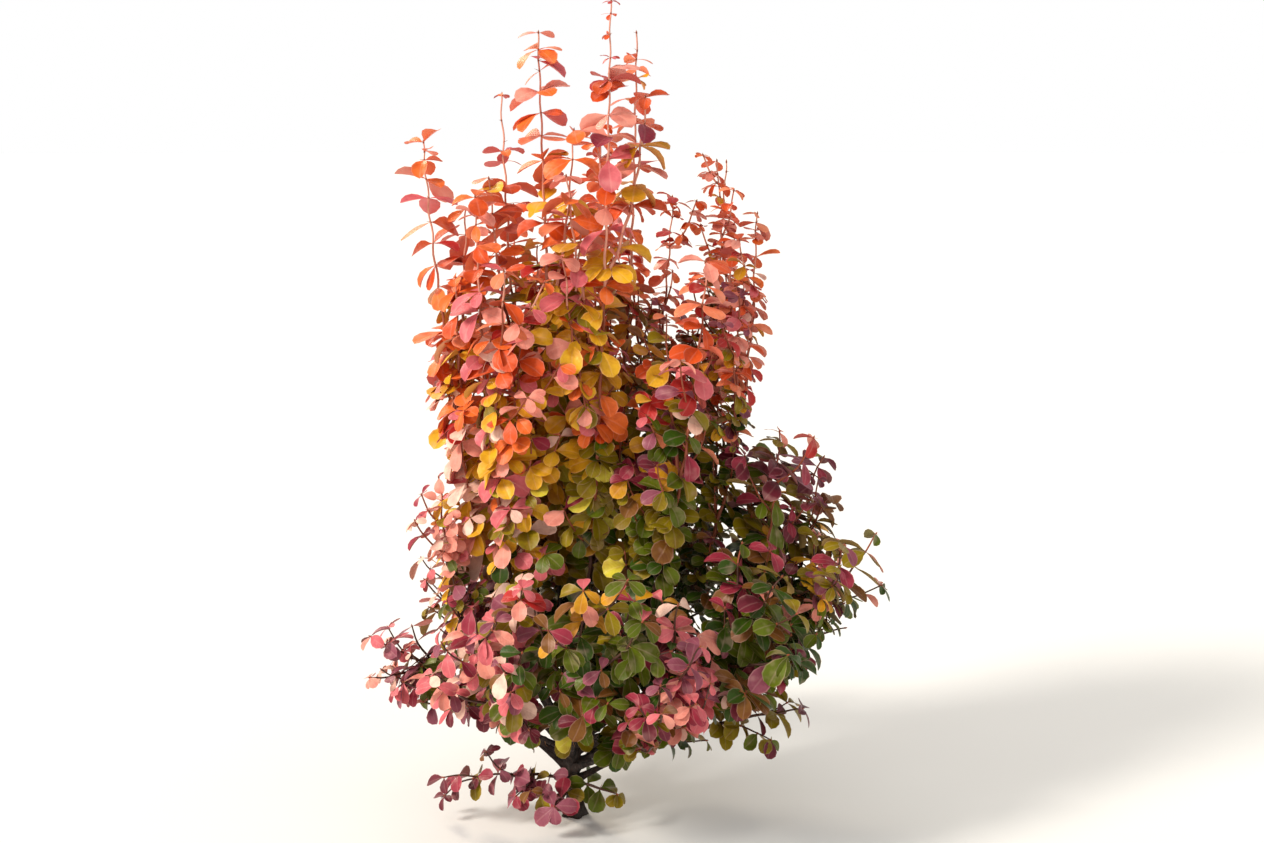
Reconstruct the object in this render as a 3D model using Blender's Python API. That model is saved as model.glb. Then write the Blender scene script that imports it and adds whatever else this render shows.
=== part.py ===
"""A young Japanese barberry: a short trunk, its boughs, and its upright and spreading masses of foliage.

Metres, +Z up. The origin is the middle of the flat cut under the trunk, at ground level.
+X is the plant's right and -Y its front.
"""

import math
import random
from typing import NamedTuple

import bpy
import numpy as np
from mathutils import Vector
from mathutils.bvhtree import BVHTree

RIGHT = Vector((1.0, 0.0, 0.0))
BACK = Vector((0.0, 1.0, 0.0))
UP = Vector((0.0, 0.0, 1.0))
GOLDEN_ANGLE = math.radians(137.5)
JOINT_GAP = 0.0003  # kept between two pieces that meet
SWERVE = 0.5  # how far a line first heads straight out of the trunk before it turns to its tip

PLANT_HEIGHT = 0.757
TRUNK_HEIGHT = 0.116
TRUNK_LEAN = -0.006  # how far the head of the trunk stands to the right of its foot
TRUNK_BEND = 1.3  # power of the height by which that lean grows
TRUNK_SIDES = 14
TRUNK_CREASE = math.radians(50)  # edges sharper than this aren't shaded smooth
FLARE_LOBES = 5
FLARE_TOP = 0.3  # share of the trunk's height that the root flare reaches
FLARE_DEPTH = 0.14  # share of the radius that the root flare swells and sinks by
# The trunk's radius at shares of its height: root flare, waist, head and crown.
TRUNK_PROFILE = (
    (0.00, 0.0125),
    (0.07, 0.0098),
    (0.18, 0.0076),
    (0.34, 0.0070),
    (0.50, 0.0090),
    (0.66, 0.0112),
    (0.84, 0.0112),
    (0.95, 0.0092),
    (1.00, 0.0064),
)

BOUGH_SIDES = 5
BOUGH_RINGS = 6
BOUGH_SEAT = 0.0030  # depth in the trunk at which a bough starts
BOUGH_BASE_RADIUS = 0.0029
BOUGH_TIP_RADIUS = 0.0021
SHOOT_SIDES = 3
SHOOT_RADIUS = 0.0018
SHOOT_TIP_RADIUS = 0.0009
SHOOT_BOW = 0.75  # share of its sideways reach that a side shoot gains low down
SHOOT_RISE = 0.35  # share of its climb at which that is
RING_STEP = 0.050  # between the rings of a leader or shoot
FEWEST_RINGS = 3
LENGTH_POINTS = 12  # by which a leader is measured before its rings are set
FIRST_SHOOT = 0.03  # share of a leader at which its lowest side shoot springs
LAST_SHOOT = 0.95  # share of a leader that its highest one grows to
LOWEST_SHOOT = 0.028  # height above the ground that shoots keep
SHOOT_TRIES = 10  # turns round its leader tried for a side shoot before it is left out
SHOOT_STEP = 0.006  # between the points that stand for a shoot in the tests of space
ROOT_POINTS = 2  # first points of a side shoot, at its leader, which aren't tested
SHOOT_GAP = 0.022  # kept between the shoots of two masses
TIP_GAP = 0.026  # kept between the tip of a side shoot and the other shoots of its mass

LEAF_LENGTH = 0.054  # at the foot of a shoot
TIP_LEAF_LENGTH = 0.038  # and at its tip
LEAF_WIDTH = 0.72  # of its length
LEAF_WIDEST = 0.62  # share of the length from the root: barberry leaves are spoon-shaped
LEAF_FOLD = 0.055  # drop of the blade's sides below its midrib, of its length
LEAF_DEPTH = 0.070  # depth of its underside below the midrib, of its length
FOOT_LEAF_SIZE = 0.66  # leaves of the foot twigs, of the others' size
RIM_LEAF_SIZE = 0.72  # leaves that point straight out of the crown, of the others' size
LEAF_SHRINK = 0.78  # smaller leaf that is tried where a full one doesn't fit
NODE_SPACING = 0.69  # between the leaves of a shoot, of a leaf's length
FIRST_LEAF = 0.3  # distance of the lowest leaf up its shoot, of a leaf's length
TOP_LEAN = 0.35  # how far the faces of the highest leaves lean outwards from upright
LOW_LEAN = 1.20  # and of the lowest
LEAF_SWAY = 0.65  # how far a face leans at random beside that
LEAF_FORWARD = 0.15  # lean of a leaf towards its shoot's tip
LEAF_ROOM = 0.10  # share that a leaf is grown by to see that it keeps clear of others
LEAF_REACH = 1.4 * LEAF_LENGTH  # distance within which two leaves could touch
OVERHANG = 0.008  # how much nearer a leaf may come to another mass's shoots than to its own
SHOOT_CLEAR = 0.0045  # kept between a leaf and the middle of another mass's shoots
LIMB_CLEAR = 0.0022  # kept between a leaf and a limb's surface
LIMB_GAP = 0.004  # kept between a side shoot and a limb's surface
LIMB_STEP = 0.003  # between the points that stand for a limb in the tests of space
GROUND_CLEAR = 0.002  # kept between foliage and the ground
HEM_START = 0.016  # height of the crown's lower edge at the trunk, but for the foot twigs
HEM_SLOPE = 0.62  # and how fast that edge rises outwards
LEAF_TRIES = 6  # turns and sizes tried for a leaf before its node stays empty
RETRY_TURN = math.radians(51)  # by which a leaf that doesn't fit is turned round its shoot

BARK_COLOUR = (0.055, 0.030, 0.020)
UPRIGHT_COLOUR = (0.75, 0.20, 0.06)
SPRAY_COLOUR = (0.35, 0.09, 0.10)
BARK_ROUGHNESS = 0.85
LEAF_ROUGHNESS = 0.45


class Line(NamedTuple):
    """One line of growth from the trunk to its leading tip: a bare bough, then a mass of foliage."""

    name: str
    tip: tuple  # the leading tip
    height: float  # on the trunk, where the bough leaves it
    side: float  # degrees round the trunk from its right, anticlockwise, where that is
    bow: float  # share of the sideways reach that is gained low down
    rise: float  # share of the climb at which that is
    bare: float  # share of the line that is the bough
    shoots: int  # side shoots of the mass
    spread: float  # how far a side shoot stands off its leader
    reach: float  # share of the leader that a side shoot grows up beside
    whip: float = 0.0  # leafless length at the leading tip


UPRIGHTS = (
    Line("upright_far_left", (-0.130, -0.020, 0.641), 0.082, 186, 0.78, 0.30, 0.36, 4, 0.034, 0.40),
    Line("upright_left", (-0.078, -0.085, 0.595), 0.091, 226, 0.90, 0.26, 0.36, 4, 0.036, 0.40),
    Line("upright_left_inner", (-0.064, 0.030, 0.684), 0.102, 156, 0.70, 0.26, 0.34, 4, 0.034, 0.36, 0.045),
    Line("upright_tall_left", (-0.026, -0.035, 0.735), 0.106, 236, 0.30, 0.28, 0.32, 4, 0.034, 0.34),
    Line("upright_front", (0.038, -0.095, 0.757), 0.102, 294, 0.80, 0.26, 0.30, 5, 0.036, 0.30, 0.050),
    Line("upright_tall_right", (0.060, 0.030, 0.739), 0.104, 12, 0.85, 0.26, 0.32, 4, 0.036, 0.34, 0.020),
    Line("upright_right_inner", (0.095, 0.085, 0.589), 0.086, 60, 0.90, 0.24, 0.36, 4, 0.036, 0.40),
    Line("upright_right", (0.143, 0.045, 0.623), 0.090, 21, 0.90, 0.22, 0.36, 4, 0.034, 0.36, 0.045),
    Line("upright_far_right", (0.167, -0.020, 0.578), 0.086, -16, 1.00, 0.22, 0.40, 3, 0.034, 0.40),
    Line("upright_front_right", (0.120, -0.085, 0.540), 0.088, -54, 0.95, 0.24, 0.36, 4, 0.038, 0.40),
    Line("upright_low_right", (0.188, -0.050, 0.385), 0.066, -14, 1.00, 0.24, 0.44, 4, 0.034, 0.42),
    Line("upright_low_left", (-0.120, -0.030, 0.339), 0.061, 198, 0.98, 0.22, 0.44, 4, 0.026, 0.42),
    Line("upright_back_left", (-0.060, 0.110, 0.580), 0.088, 122, 0.85, 0.26, 0.36, 4, 0.038, 0.40),
    Line("upright_back", (0.025, 0.120, 0.640), 0.098, 86, 0.85, 0.26, 0.34, 4, 0.038, 0.38),
)
SPRAYS = (
    Line("spray_left_low", (-0.188, -0.030, 0.187), 0.046, 178, 0.50, 0.66, 0.34, 6, 0.034, 0.36),
    Line("spray_front_left", (-0.080, -0.150, 0.250), 0.070, 236, 0.80, 0.34, 0.36, 6, 0.050, 0.45),
    Line("spray_front", (0.015, -0.180, 0.275), 0.065, 272, 0.80, 0.34, 0.36, 6, 0.052, 0.45),
    Line("spray_front_right", (0.112, -0.195, 0.231), 0.048, 292, 0.70, 0.40, 0.38, 6, 0.050, 0.45),
    Line("spray_right_high", (0.236, 0.020, 0.348), 0.072, 26, 0.75, 0.35, 0.42, 6, 0.044, 0.40),
    Line("spray_right", (0.279, -0.040, 0.288), 0.053, -14, 0.75, 0.45, 0.40, 6, 0.044, 0.40),
    Line("spray_right_low", (0.262, 0.050, 0.205), 0.046, 42, 0.50, 0.60, 0.38, 6, 0.044, 0.40),
    Line("spray_right_front", (0.185, -0.120, 0.270), 0.074, -50, 0.75, 0.38, 0.38, 6, 0.052, 0.45),
    Line("spray_back_right", (0.150, 0.150, 0.290), 0.070, 62, 0.80, 0.34, 0.38, 6, 0.052, 0.45),
    Line("spray_back", (0.020, 0.190, 0.270), 0.060, 96, 0.80, 0.34, 0.36, 6, 0.052, 0.45),
    Line("spray_back_left", (-0.130, 0.110, 0.255), 0.066, 142, 0.75, 0.34, 0.38, 6, 0.050, 0.45),
)
FOOT_TWIGS = (
    Line("drooping_right", (0.212, -0.060, 0.128), 0.036, -34, 0.50, 0.80, 0.60, 3, 0.022, 0.45),
    Line("foot_left", (-0.122, -0.030, 0.050), 0.040, 214, 0.50, 1.20, 0.0, 3, 0.020, 0.30),
    Line("foot_front", (-0.016, -0.062, 0.034), 0.030, 256, 0.60, 1.20, 0.0, 2, 0.022, 0.50),
    Line("foot_right", (0.042, -0.040, 0.036), 0.034, 318, 0.50, 1.50, 0.0, 2, 0.022, 0.50),
)
LINES = UPRIGHTS + SPRAYS + FOOT_TWIGS


class Shoot(NamedTuple):
    """A leader or side shoot: its path, its tube's points and faces, its bare tip and its search tree."""

    path: list
    shape: tuple
    whip: float
    tree: BVHTree


def trunk_centre(height):
    """The middle of the trunk at a height, on its leaning axis."""
    share = max(height, 0.0) / TRUNK_HEIGHT
    return Vector((TRUNK_LEAN * share**TRUNK_BEND, 0.0, height))


def trunk_radius(share):
    """The trunk's mean radius at a share of its height, straight between the profile's stations."""
    for (low, wide), (high, narrow) in zip(TRUNK_PROFILE, TRUNK_PROFILE[1:]):
        if share <= high:
            return wide + (narrow - wide) * (share - low) / (high - low)
    return TRUNK_PROFILE[-1][1]


def curve_point(start, middle, tip, share):
    """A point on the smooth curve from start to tip that is drawn towards the middle."""
    return start * (1 - share) ** 2 + middle * 2 * share * (1 - share) + tip * share**2


def line_point(line, share):
    """A point on a line, which leaves the trunk sideways and turns up towards its tip."""
    turn = math.radians(line.side)
    out = Vector((math.cos(turn), math.sin(turn), 0.0))
    depth = BOUGH_SEAT if line.bare else -JOINT_GAP
    start = trunk_centre(line.height) + out * (trunk_radius(line.height / TRUNK_HEIGHT) - depth)
    reach = Vector(line.tip) - start
    level = Vector((reach.x, reach.y, 0.0))
    middle = start + level.lerp(out * level.length, SWERVE) * line.bow + UP * reach.z * line.rise
    return curve_point(start, middle, Vector(line.tip), share)


def line_path(line, low, high, count):
    """Points along a line between two of its shares."""
    return [line_point(line, low + (high - low) * i / (count - 1)) for i in range(count)]


def path_length(path):
    return sum((b - a).length for a, b in zip(path, path[1:]))


def tangents_of(path):
    """The direction of a path at each of its points."""
    last = len(path) - 1
    return [(path[min(i + 1, last)] - path[max(i - 1, 0)]).normalized() for i in range(last + 1)]


def across(direction):
    """Some direction square to another."""
    other = min((RIGHT, BACK), key=lambda axis: abs(direction.dot(axis)))
    return direction.cross(other).normalized()


def tube_shape(path, radii, sides):
    """The points and faces of a closed tube round a path, with flat ends square to it."""
    side = across(path[1] - path[0])
    points, faces = [], []
    for point, tangent, radius in zip(path, tangents_of(path), radii):
        side = (side - tangent * side.dot(tangent)).normalized()
        other = tangent.cross(side)
        for k in range(sides):
            turn = 2 * math.pi * k / sides
            points.append(point + (side * math.cos(turn) + other * math.sin(turn)) * radius)
    for low in range(0, len(points) - sides, sides):
        for k in range(sides):
            nxt = (k + 1) % sides
            faces.append((low + k, low + nxt, low + sides + nxt, low + sides + k))
    faces.append(tuple(range(sides))[::-1])
    faces.append(tuple(range(len(points) - sides, len(points))))
    return points, faces


def tapered(start_radius, tip_radius, count):
    """The radii of a tube that tapers evenly."""
    return [start_radius + (tip_radius - start_radius) * i / (count - 1) for i in range(count)]


def new_object(name, shape, material, collection=None):
    mesh = bpy.data.meshes.new(name)
    mesh.from_pydata(shape[0], [], shape[1])
    mesh.update()
    obj = bpy.data.objects.new(name, mesh)
    obj.data.materials.append(material)
    (collection or bpy.context.scene.collection).objects.link(obj)
    return obj


def build_trunk(name, material, grown=0.0):
    """The trunk, or the same shape grown a little all over, which cuts the boughs where they meet it."""
    points, faces = [], []
    for share, radius in TRUNK_PROFILE:
        centre = trunk_centre(share * TRUNK_HEIGHT)
        centre.z += {0.0: -grown, 1.0: grown}.get(share, 0.0)
        lobes = FLARE_DEPTH * max(0.0, 1 - share / FLARE_TOP)
        for k in range(TRUNK_SIDES):
            turn = 2 * math.pi * k / TRUNK_SIDES
            reach = (radius + grown) * (1 + lobes * math.cos(FLARE_LOBES * turn))
            points.append(centre + Vector((math.cos(turn), math.sin(turn), 0.0)) * reach)
    for low in range(0, len(points) - TRUNK_SIDES, TRUNK_SIDES):
        for k in range(TRUNK_SIDES):
            nxt = (k + 1) % TRUNK_SIDES
            faces.append((low + k, low + nxt, low + TRUNK_SIDES + nxt, low + TRUNK_SIDES + k))
    faces.append(tuple(range(TRUNK_SIDES))[::-1])
    faces.append(tuple(range(len(points) - TRUNK_SIDES, len(points))))
    trunk = new_object(name, (points, faces), material)
    trunk.data.shade_smooth()
    trunk.data.set_sharp_from_angle(angle=TRUNK_CREASE)
    return trunk


def build_bough(line, material, cutter):
    """The bare limb of a line. It starts inside the trunk and is cut back to the trunk's surface."""
    path = line_path(line, 0.0, line.bare, BOUGH_RINGS)
    radii = tapered(BOUGH_BASE_RADIUS, BOUGH_TIP_RADIUS, BOUGH_RINGS)
    bough = new_object("bough_" + line.name, tube_shape(path, radii, BOUGH_SIDES), material)
    cut = bough.modifiers.new("seat on trunk", "BOOLEAN")
    cut.operation = "DIFFERENCE"
    cut.object = cutter
    cut.solver = "EXACT"
    bough.data.shade_smooth()
    return bough


def new_shoot(path, radius, whip=0.0):
    shape = tube_shape(path, tapered(radius, SHOOT_TIP_RADIUS, len(path)), SHOOT_SIDES)
    return Shoot(path, shape, whip, BVHTree.FromPolygons(*shape))


def leader_of(line):
    """The stem of a mass, which starts clear of its bough's tip, or of the trunk where it has no bough."""
    length = path_length(line_path(line, line.bare, 1.0, LENGTH_POINTS))
    path = line_path(line, line.bare, 1.0, max(FEWEST_RINGS, round(length / RING_STEP)))
    path[0] = path[0] + (path[1] - path[0]).normalized() * JOINT_GAP
    radius = BOUGH_TIP_RADIUS if line.bare else SHOOT_RADIUS
    return new_shoot(path, radius, line.whip)


def along(path, share):
    """The point and the direction at a share of a path's length."""
    left = share * path_length(path)
    for a, b in zip(path, path[1:]):
        step = (b - a).length
        if left <= step:
            return a.lerp(b, left / step), (b - a).normalized()
        left -= step
    return path[-1].copy(), (path[-1] - path[-2]).normalized()


def side_shoot(line, leader, order, turn):
    """One side shoot: it springs outwards from the leader and then grows up beside it."""
    share = FIRST_SHOOT + (LAST_SHOOT - line.reach) * order / line.shoots
    start, direction = along(leader.path, share)
    end, _ = along(leader.path, min(1.0, share + line.reach))
    side = across(direction)
    outward = side * math.cos(turn) + direction.cross(side) * math.sin(turn)
    light = Vector((end.x, end.y, 0.0)).normalized()
    if line in UPRIGHTS:
        outward -= light * max(0.0, outward.dot(light))
    tip = end + outward * line.spread
    tip.z = max(tip.z, LOWEST_SHOOT, hem(line, tip))
    count = max(FEWEST_RINGS, round((tip - start).length / RING_STEP) + 1)
    reach = tip - start
    middle = start + Vector((reach.x * SHOOT_BOW, reach.y * SHOOT_BOW, reach.z * SHOOT_RISE))
    path = [curve_point(start, middle, tip, i / (count - 1)) for i in range(count)]
    return new_shoot(path, SHOOT_RADIUS)


def samples_of(path, step):
    """Points at most a step apart along a path."""
    points = []
    for a, b in zip(path, path[1:]):
        count = max(1, math.ceil((b - a).length / step))
        points.extend(a.lerp(b, i / count) for i in range(count))
    points.append(path[-1])
    return np.array([p[:] for p in points])


def tree_of(shape, grown=0.0):
    """A search tree of a shape's faces, of the shape grown from its middle by a share."""
    points, faces = shape
    middle = sum(points, Vector()) / len(points)
    return BVHTree.FromPolygons([p + (p - middle) * grown for p in points], faces)


class Crown:
    """Where every limb, shoot and leaf lies, so that each new one can keep clear of them."""

    def __init__(self):
        self.points = np.empty((0, 3))  # along the middles of all shoots
        self.owners = np.empty(0, int)
        self.limbs = np.empty((0, 3))  # along the middles of the trunk and boughs
        self.limb_radii = np.empty(0)
        self.stems = []  # the search tree of each shoot
        self.leaves = []  # the middle and the search tree of each leaf

    def add_shoot(self, owner, path):
        found = samples_of(path, SHOOT_STEP)
        self.points = np.concatenate([self.points, found])
        self.owners = np.concatenate([self.owners, np.full(len(found), owner)])

    def add_limb(self, path, radii):
        """Adds a limb by close points along its middle and its radius at each."""
        self.limbs = np.concatenate([self.limbs, [p[:] for p in path]])
        self.limb_radii = np.concatenate([self.limb_radii, radii])

    def clear_of_limbs(self, points, clear):
        gaps = np.linalg.norm(points[:, None] - self.limbs[None], axis=2) - self.limb_radii
        return bool((gaps > clear).all())

    def in_own_space(self, owner, points):
        """Whether the points keep to their own mass's side and clear of every other mass's shoots."""
        distances = np.linalg.norm(points[:, None] - self.points[None], axis=2)
        own = distances[:, self.owners == owner].min(axis=1)
        other = distances[:, self.owners != owner].min(axis=1)
        return bool((own < other + OVERHANG).all() and (other > SHOOT_CLEAR).all())

    def shoot_fits(self, owner, path):
        """Whether a side shoot keeps clear of the limbs and of other masses' shoots."""
        points = samples_of(path, SHOOT_STEP)[ROOT_POINTS:]
        others = self.points[self.owners != owner]
        gaps = np.linalg.norm(points[:, None] - others[None], axis=2)
        return bool((gaps > SHOOT_GAP).all()) and self.clear_of_limbs(points, LIMB_GAP)

    def leaf_is_free(self, corners, own_stem):
        """Whether a leaf crosses no leaf and no shoot but the one that it grows on."""
        middle = corners[4]
        near = [tree for other, tree in self.leaves if (middle - other).length < LEAF_REACH]
        roomy = tree_of(leaf_shape(corners), LEAF_ROOM)
        if any(roomy.overlap(tree) for tree in near):
            return False
        blade = tree_of(leaf_shape(corners))
        return not any(blade.overlap(stem) for stem in self.stems if stem is not own_stem)


def leaf_axes(root, direction, turn, sway):
    """A leaf's own axes: along its blade, across it, and out of its upper face, which turns to the light."""
    side = across(direction)
    outward = side * math.cos(turn) + direction.cross(side) * math.sin(turn) + direction * LEAF_FORWARD
    lean = LOW_LEAN + (TOP_LEAN - LOW_LEAN) * min(1.0, root.z / PLANT_HEIGHT)
    light = Vector((root.x, root.y, 0.0)).normalized()
    face = (UP + light * lean + sway).normalized()
    blade = (outward - face * outward.dot(face)).normalized()
    return blade, blade.cross(face), face


def leaf_corners(root, axes, length):
    """Root, left, tip, right and underside of a spoon-shaped blade, folded down from its midrib."""
    blade, wide, face = axes
    half = length * LEAF_WIDTH / 2
    middle = root + blade * length * LEAF_WIDEST
    fold = face * length * LEAF_FOLD
    return (
        root,
        middle - wide * half - fold,
        root + blade * length,
        middle + wide * half - fold,
        middle - face * length * LEAF_DEPTH,
    )


def leaf_shape(corners):
    """The points and faces of a closed blade of six triangles, two above and four below."""
    return corners, [(0, 1, 2), (0, 2, 3), (1, 0, 4), (2, 1, 4), (3, 2, 4), (0, 3, 4)]


def leaf_samples(corners):
    """Points all over a blade, for the tests of its space."""
    rim, middle = corners[:4], corners[0].lerp(corners[2], LEAF_WIDEST)
    found = [middle]
    for a, b in zip(rim, rim[1:] + rim[:1]):
        for share in (0.25, 0.5, 0.75, 1.0):
            edge = a.lerp(b, share)
            found.append(edge)
            found.append(edge.lerp(middle, 0.5))
    return np.array([p[:] for p in found])


def tip_gap(shoot, other):
    """The distance from the tip of a shoot to the nearest point of another."""
    tip = np.array(shoot.path[-1])
    return np.linalg.norm(tip - samples_of(other.path, SHOOT_STEP), axis=1).min()


def grow_shoots(owner, line, crown):
    """The leader of a mass and the side shoots that find room beside it."""
    leader = leader_of(line)
    shoots = [leader]
    chance = random.Random(line.name)
    for order in range(line.shoots):
        turn = chance.uniform(0.0, 2 * math.pi)
        for _ in range(SHOOT_TRIES):
            shoot = side_shoot(line, leader, order, turn)
            apart = all(tip_gap(shoot, other) > TIP_GAP for other in shoots)
            if apart and crown.shoot_fits(owner, shoot.path):
                shoots.append(shoot)
                crown.add_shoot(owner, shoot.path)
                break
            turn += GOLDEN_ANGLE
    return shoots


def hem(line, point):
    """The height that foliage keeps at a point: low at the trunk and higher further out."""
    if line in FOOT_TWIGS:
        return GROUND_CLEAR
    return HEM_START + HEM_SLOPE * math.hypot(point[0], point[1])


def leaf_fits(owner, corners, own_stem, crown):
    """Whether a leaf keeps above the hem, to its own mass's space and clear of limbs, shoots and leaves."""
    points = leaf_samples(corners)
    return (
        all(point[2] > hem(LINES[owner], point) for point in points)
        and crown.in_own_space(owner, points[:-2])
        and crown.clear_of_limbs(points, LIMB_CLEAR)
        and crown.leaf_is_free(corners, own_stem)
    )


def rim_scale(root, blade):
    """The share of its size that a leaf has by how straight it points out of the crown."""
    outward = max(0.0, blade.dot(Vector((root.x, root.y, 0.0)).normalized()))
    return 1.0 + (RIM_LEAF_SIZE - 1.0) * outward


def grow_leaves(owner, line, shoots, crown):
    """The corners of every leaf of a mass that finds its space free."""
    chance = random.Random(line.name + " leaves")
    leaves = []
    for shoot in shoots:
        length = path_length(shoot.path)
        leafy = length - shoot.whip
        scale = FOOT_LEAF_SIZE if line in FOOT_TWIGS else 1.0
        place = LEAF_LENGTH * scale * FIRST_LEAF
        turn = chance.uniform(0.0, 2 * math.pi)
        while place < leafy:
            full = (LEAF_LENGTH + (TIP_LEAF_LENGTH - LEAF_LENGTH) * place / leafy) * scale
            root, direction = along(shoot.path, place / length)
            for attempt in range(LEAF_TRIES):
                sway = Vector((chance.uniform(-1, 1), chance.uniform(-1, 1), 0.0)) * LEAF_SWAY
                axes = leaf_axes(root, direction, turn, sway)
                size = full * rim_scale(root, axes[0]) * (LEAF_SHRINK if attempt % 2 else 1.0)
                corners = leaf_corners(root, axes, size)
                if leaf_fits(owner, corners, shoot.tree, crown):
                    leaves.append(corners)
                    crown.leaves.append((corners[4], tree_of(leaf_shape(corners))))
                    break
                if attempt % 2:
                    turn += RETRY_TURN
            turn += GOLDEN_ANGLE
            place += full * NODE_SPACING
    return leaves


def build_mass(line, shoots, leaves, leaf_material):
    """One mass of foliage: its shoots and leaves made one solid by a Boolean union."""
    collection = bpy.data.collections.new("pieces of " + line.name)
    bpy.context.scene.collection.children.link(collection)
    mass = new_object("foliage_" + line.name, shoots[0].shape, leaf_material)
    for shoot in shoots[1:]:
        new_object("shoot", shoot.shape, leaf_material, collection)
    for corners in leaves:
        new_object("leaf", leaf_shape(corners), leaf_material, collection)
    join = mass.modifiers.new("join leaves", "BOOLEAN")
    join.operation = "UNION"
    join.operand_type = "COLLECTION"
    join.collection = collection
    join.solver = "EXACT"
    bpy.context.view_layer.update()
    graph = bpy.context.evaluated_depsgraph_get()
    joined = bpy.data.meshes.new_from_object(mass.evaluated_get(graph))
    mass.modifiers.clear()
    mass.data = joined
    for piece in list(collection.objects):
        bpy.data.objects.remove(piece)
    bpy.data.collections.remove(collection)
    return mass


def plain_material(name, colour, roughness):
    material = bpy.data.materials.new(name)
    material.use_nodes = True
    shader = material.node_tree.nodes["Principled BSDF"]
    shader.inputs["Base Color"].default_value = (*colour, 1.0)
    shader.inputs["Roughness"].default_value = roughness
    shader.inputs["Metallic"].default_value = 0.0
    return material


def plan_crown():
    """The shoots of every mass and the crown that they share out."""
    crown = Crown()
    heights = np.arange(0.0, TRUNK_HEIGHT, LIMB_STEP)
    crown.add_limb([trunk_centre(h) for h in heights], [trunk_radius(h / TRUNK_HEIGHT) for h in heights])
    for owner, line in enumerate(LINES):
        if line.bare:
            count = round(path_length(line_path(line, 0.0, line.bare, BOUGH_RINGS)) / LIMB_STEP)
            radii = tapered(BOUGH_BASE_RADIUS, BOUGH_TIP_RADIUS, count)
            crown.add_limb(line_path(line, 0.0, line.bare, count), radii)
        crown.add_shoot(owner, leader_of(line).path)
    shoots = [grow_shoots(owner, line, crown) for owner, line in enumerate(LINES)]
    crown.stems = [shoot.tree for mass in shoots for shoot in mass]
    return crown, shoots


def main():
    for obj in list(bpy.data.objects):
        bpy.data.objects.remove(obj)
    bark = plain_material("bark", BARK_COLOUR, BARK_ROUGHNESS)
    coral = plain_material("upright leaves", UPRIGHT_COLOUR, LEAF_ROUGHNESS)
    purple = plain_material("spray leaves", SPRAY_COLOUR, LEAF_ROUGHNESS)
    build_trunk("trunk", bark)
    cutter = build_trunk("trunk_clearance", bark, JOINT_GAP)
    cutter.hide_render = True
    cutter.display_type = "WIRE"
    crown, shoots = plan_crown()
    for owner, line in enumerate(LINES):
        if line.bare:
            build_bough(line, bark, cutter)
        leaves = grow_leaves(owner, line, shoots[owner], crown)
        build_mass(line, shoots[owner], leaves, coral if line in UPRIGHTS else purple)


if __name__ == "__main__":
    main()
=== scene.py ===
"""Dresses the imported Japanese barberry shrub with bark, twigs, spines and leaves, and lights it.

Metres, +Z up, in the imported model's own frame: the origin is the middle of the flat cut under the trunk, at
ground level. +X is the plant's right and -Y its front. Its shoots grow by the solids' own seeded rule.
"""

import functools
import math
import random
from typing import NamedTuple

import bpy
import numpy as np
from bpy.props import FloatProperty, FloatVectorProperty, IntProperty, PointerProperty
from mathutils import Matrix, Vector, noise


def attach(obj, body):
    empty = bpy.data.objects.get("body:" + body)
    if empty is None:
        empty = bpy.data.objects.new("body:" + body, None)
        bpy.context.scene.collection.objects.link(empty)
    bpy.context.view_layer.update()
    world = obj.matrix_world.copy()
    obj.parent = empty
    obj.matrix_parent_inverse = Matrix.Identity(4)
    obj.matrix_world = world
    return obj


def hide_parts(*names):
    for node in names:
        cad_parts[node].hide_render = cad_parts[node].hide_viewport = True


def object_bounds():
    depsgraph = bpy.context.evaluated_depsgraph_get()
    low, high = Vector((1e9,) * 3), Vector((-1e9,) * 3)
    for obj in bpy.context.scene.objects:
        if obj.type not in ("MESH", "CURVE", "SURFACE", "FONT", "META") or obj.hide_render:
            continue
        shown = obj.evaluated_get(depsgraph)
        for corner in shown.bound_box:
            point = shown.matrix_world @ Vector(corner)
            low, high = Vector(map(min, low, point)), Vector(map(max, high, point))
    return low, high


bl_info = {
    "name": "Japanese barberry shrub",
    "version": (1, 0, 0),
    "blender": (4, 5, 0),
    "location": "3D View > Sidebar > Shrub",
    "description": "Bark, twigs, spines and autumn leaves for a young barberry",
    "category": "Object",
}

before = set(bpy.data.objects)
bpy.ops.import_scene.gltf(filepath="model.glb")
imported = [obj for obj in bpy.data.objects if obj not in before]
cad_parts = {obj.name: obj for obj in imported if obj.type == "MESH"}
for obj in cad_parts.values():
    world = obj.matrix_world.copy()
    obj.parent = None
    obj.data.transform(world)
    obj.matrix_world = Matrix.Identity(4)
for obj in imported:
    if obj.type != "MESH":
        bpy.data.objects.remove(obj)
CAD_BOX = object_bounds()

RIGHT = Vector((1.0, 0.0, 0.0))
BACK = Vector((0.0, 1.0, 0.0))
UP = Vector((0.0, 0.0, 1.0))
GOLDEN_ANGLE = math.radians(137.5)
SHARP_EDGE = math.radians(60)  # edges sharper than this aren't shaded smooth

# The solids' own sizes, by which the trunk, boughs and shoots are grown again.
PLANT_HEIGHT = 0.757
TRUNK_HEIGHT = 0.116
TRUNK_LEAN = -0.006
TRUNK_BEND = 1.3
FLARE_LOBES = 5
FLARE_TOP = 0.3
FLARE_DEPTH = 0.14
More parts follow.
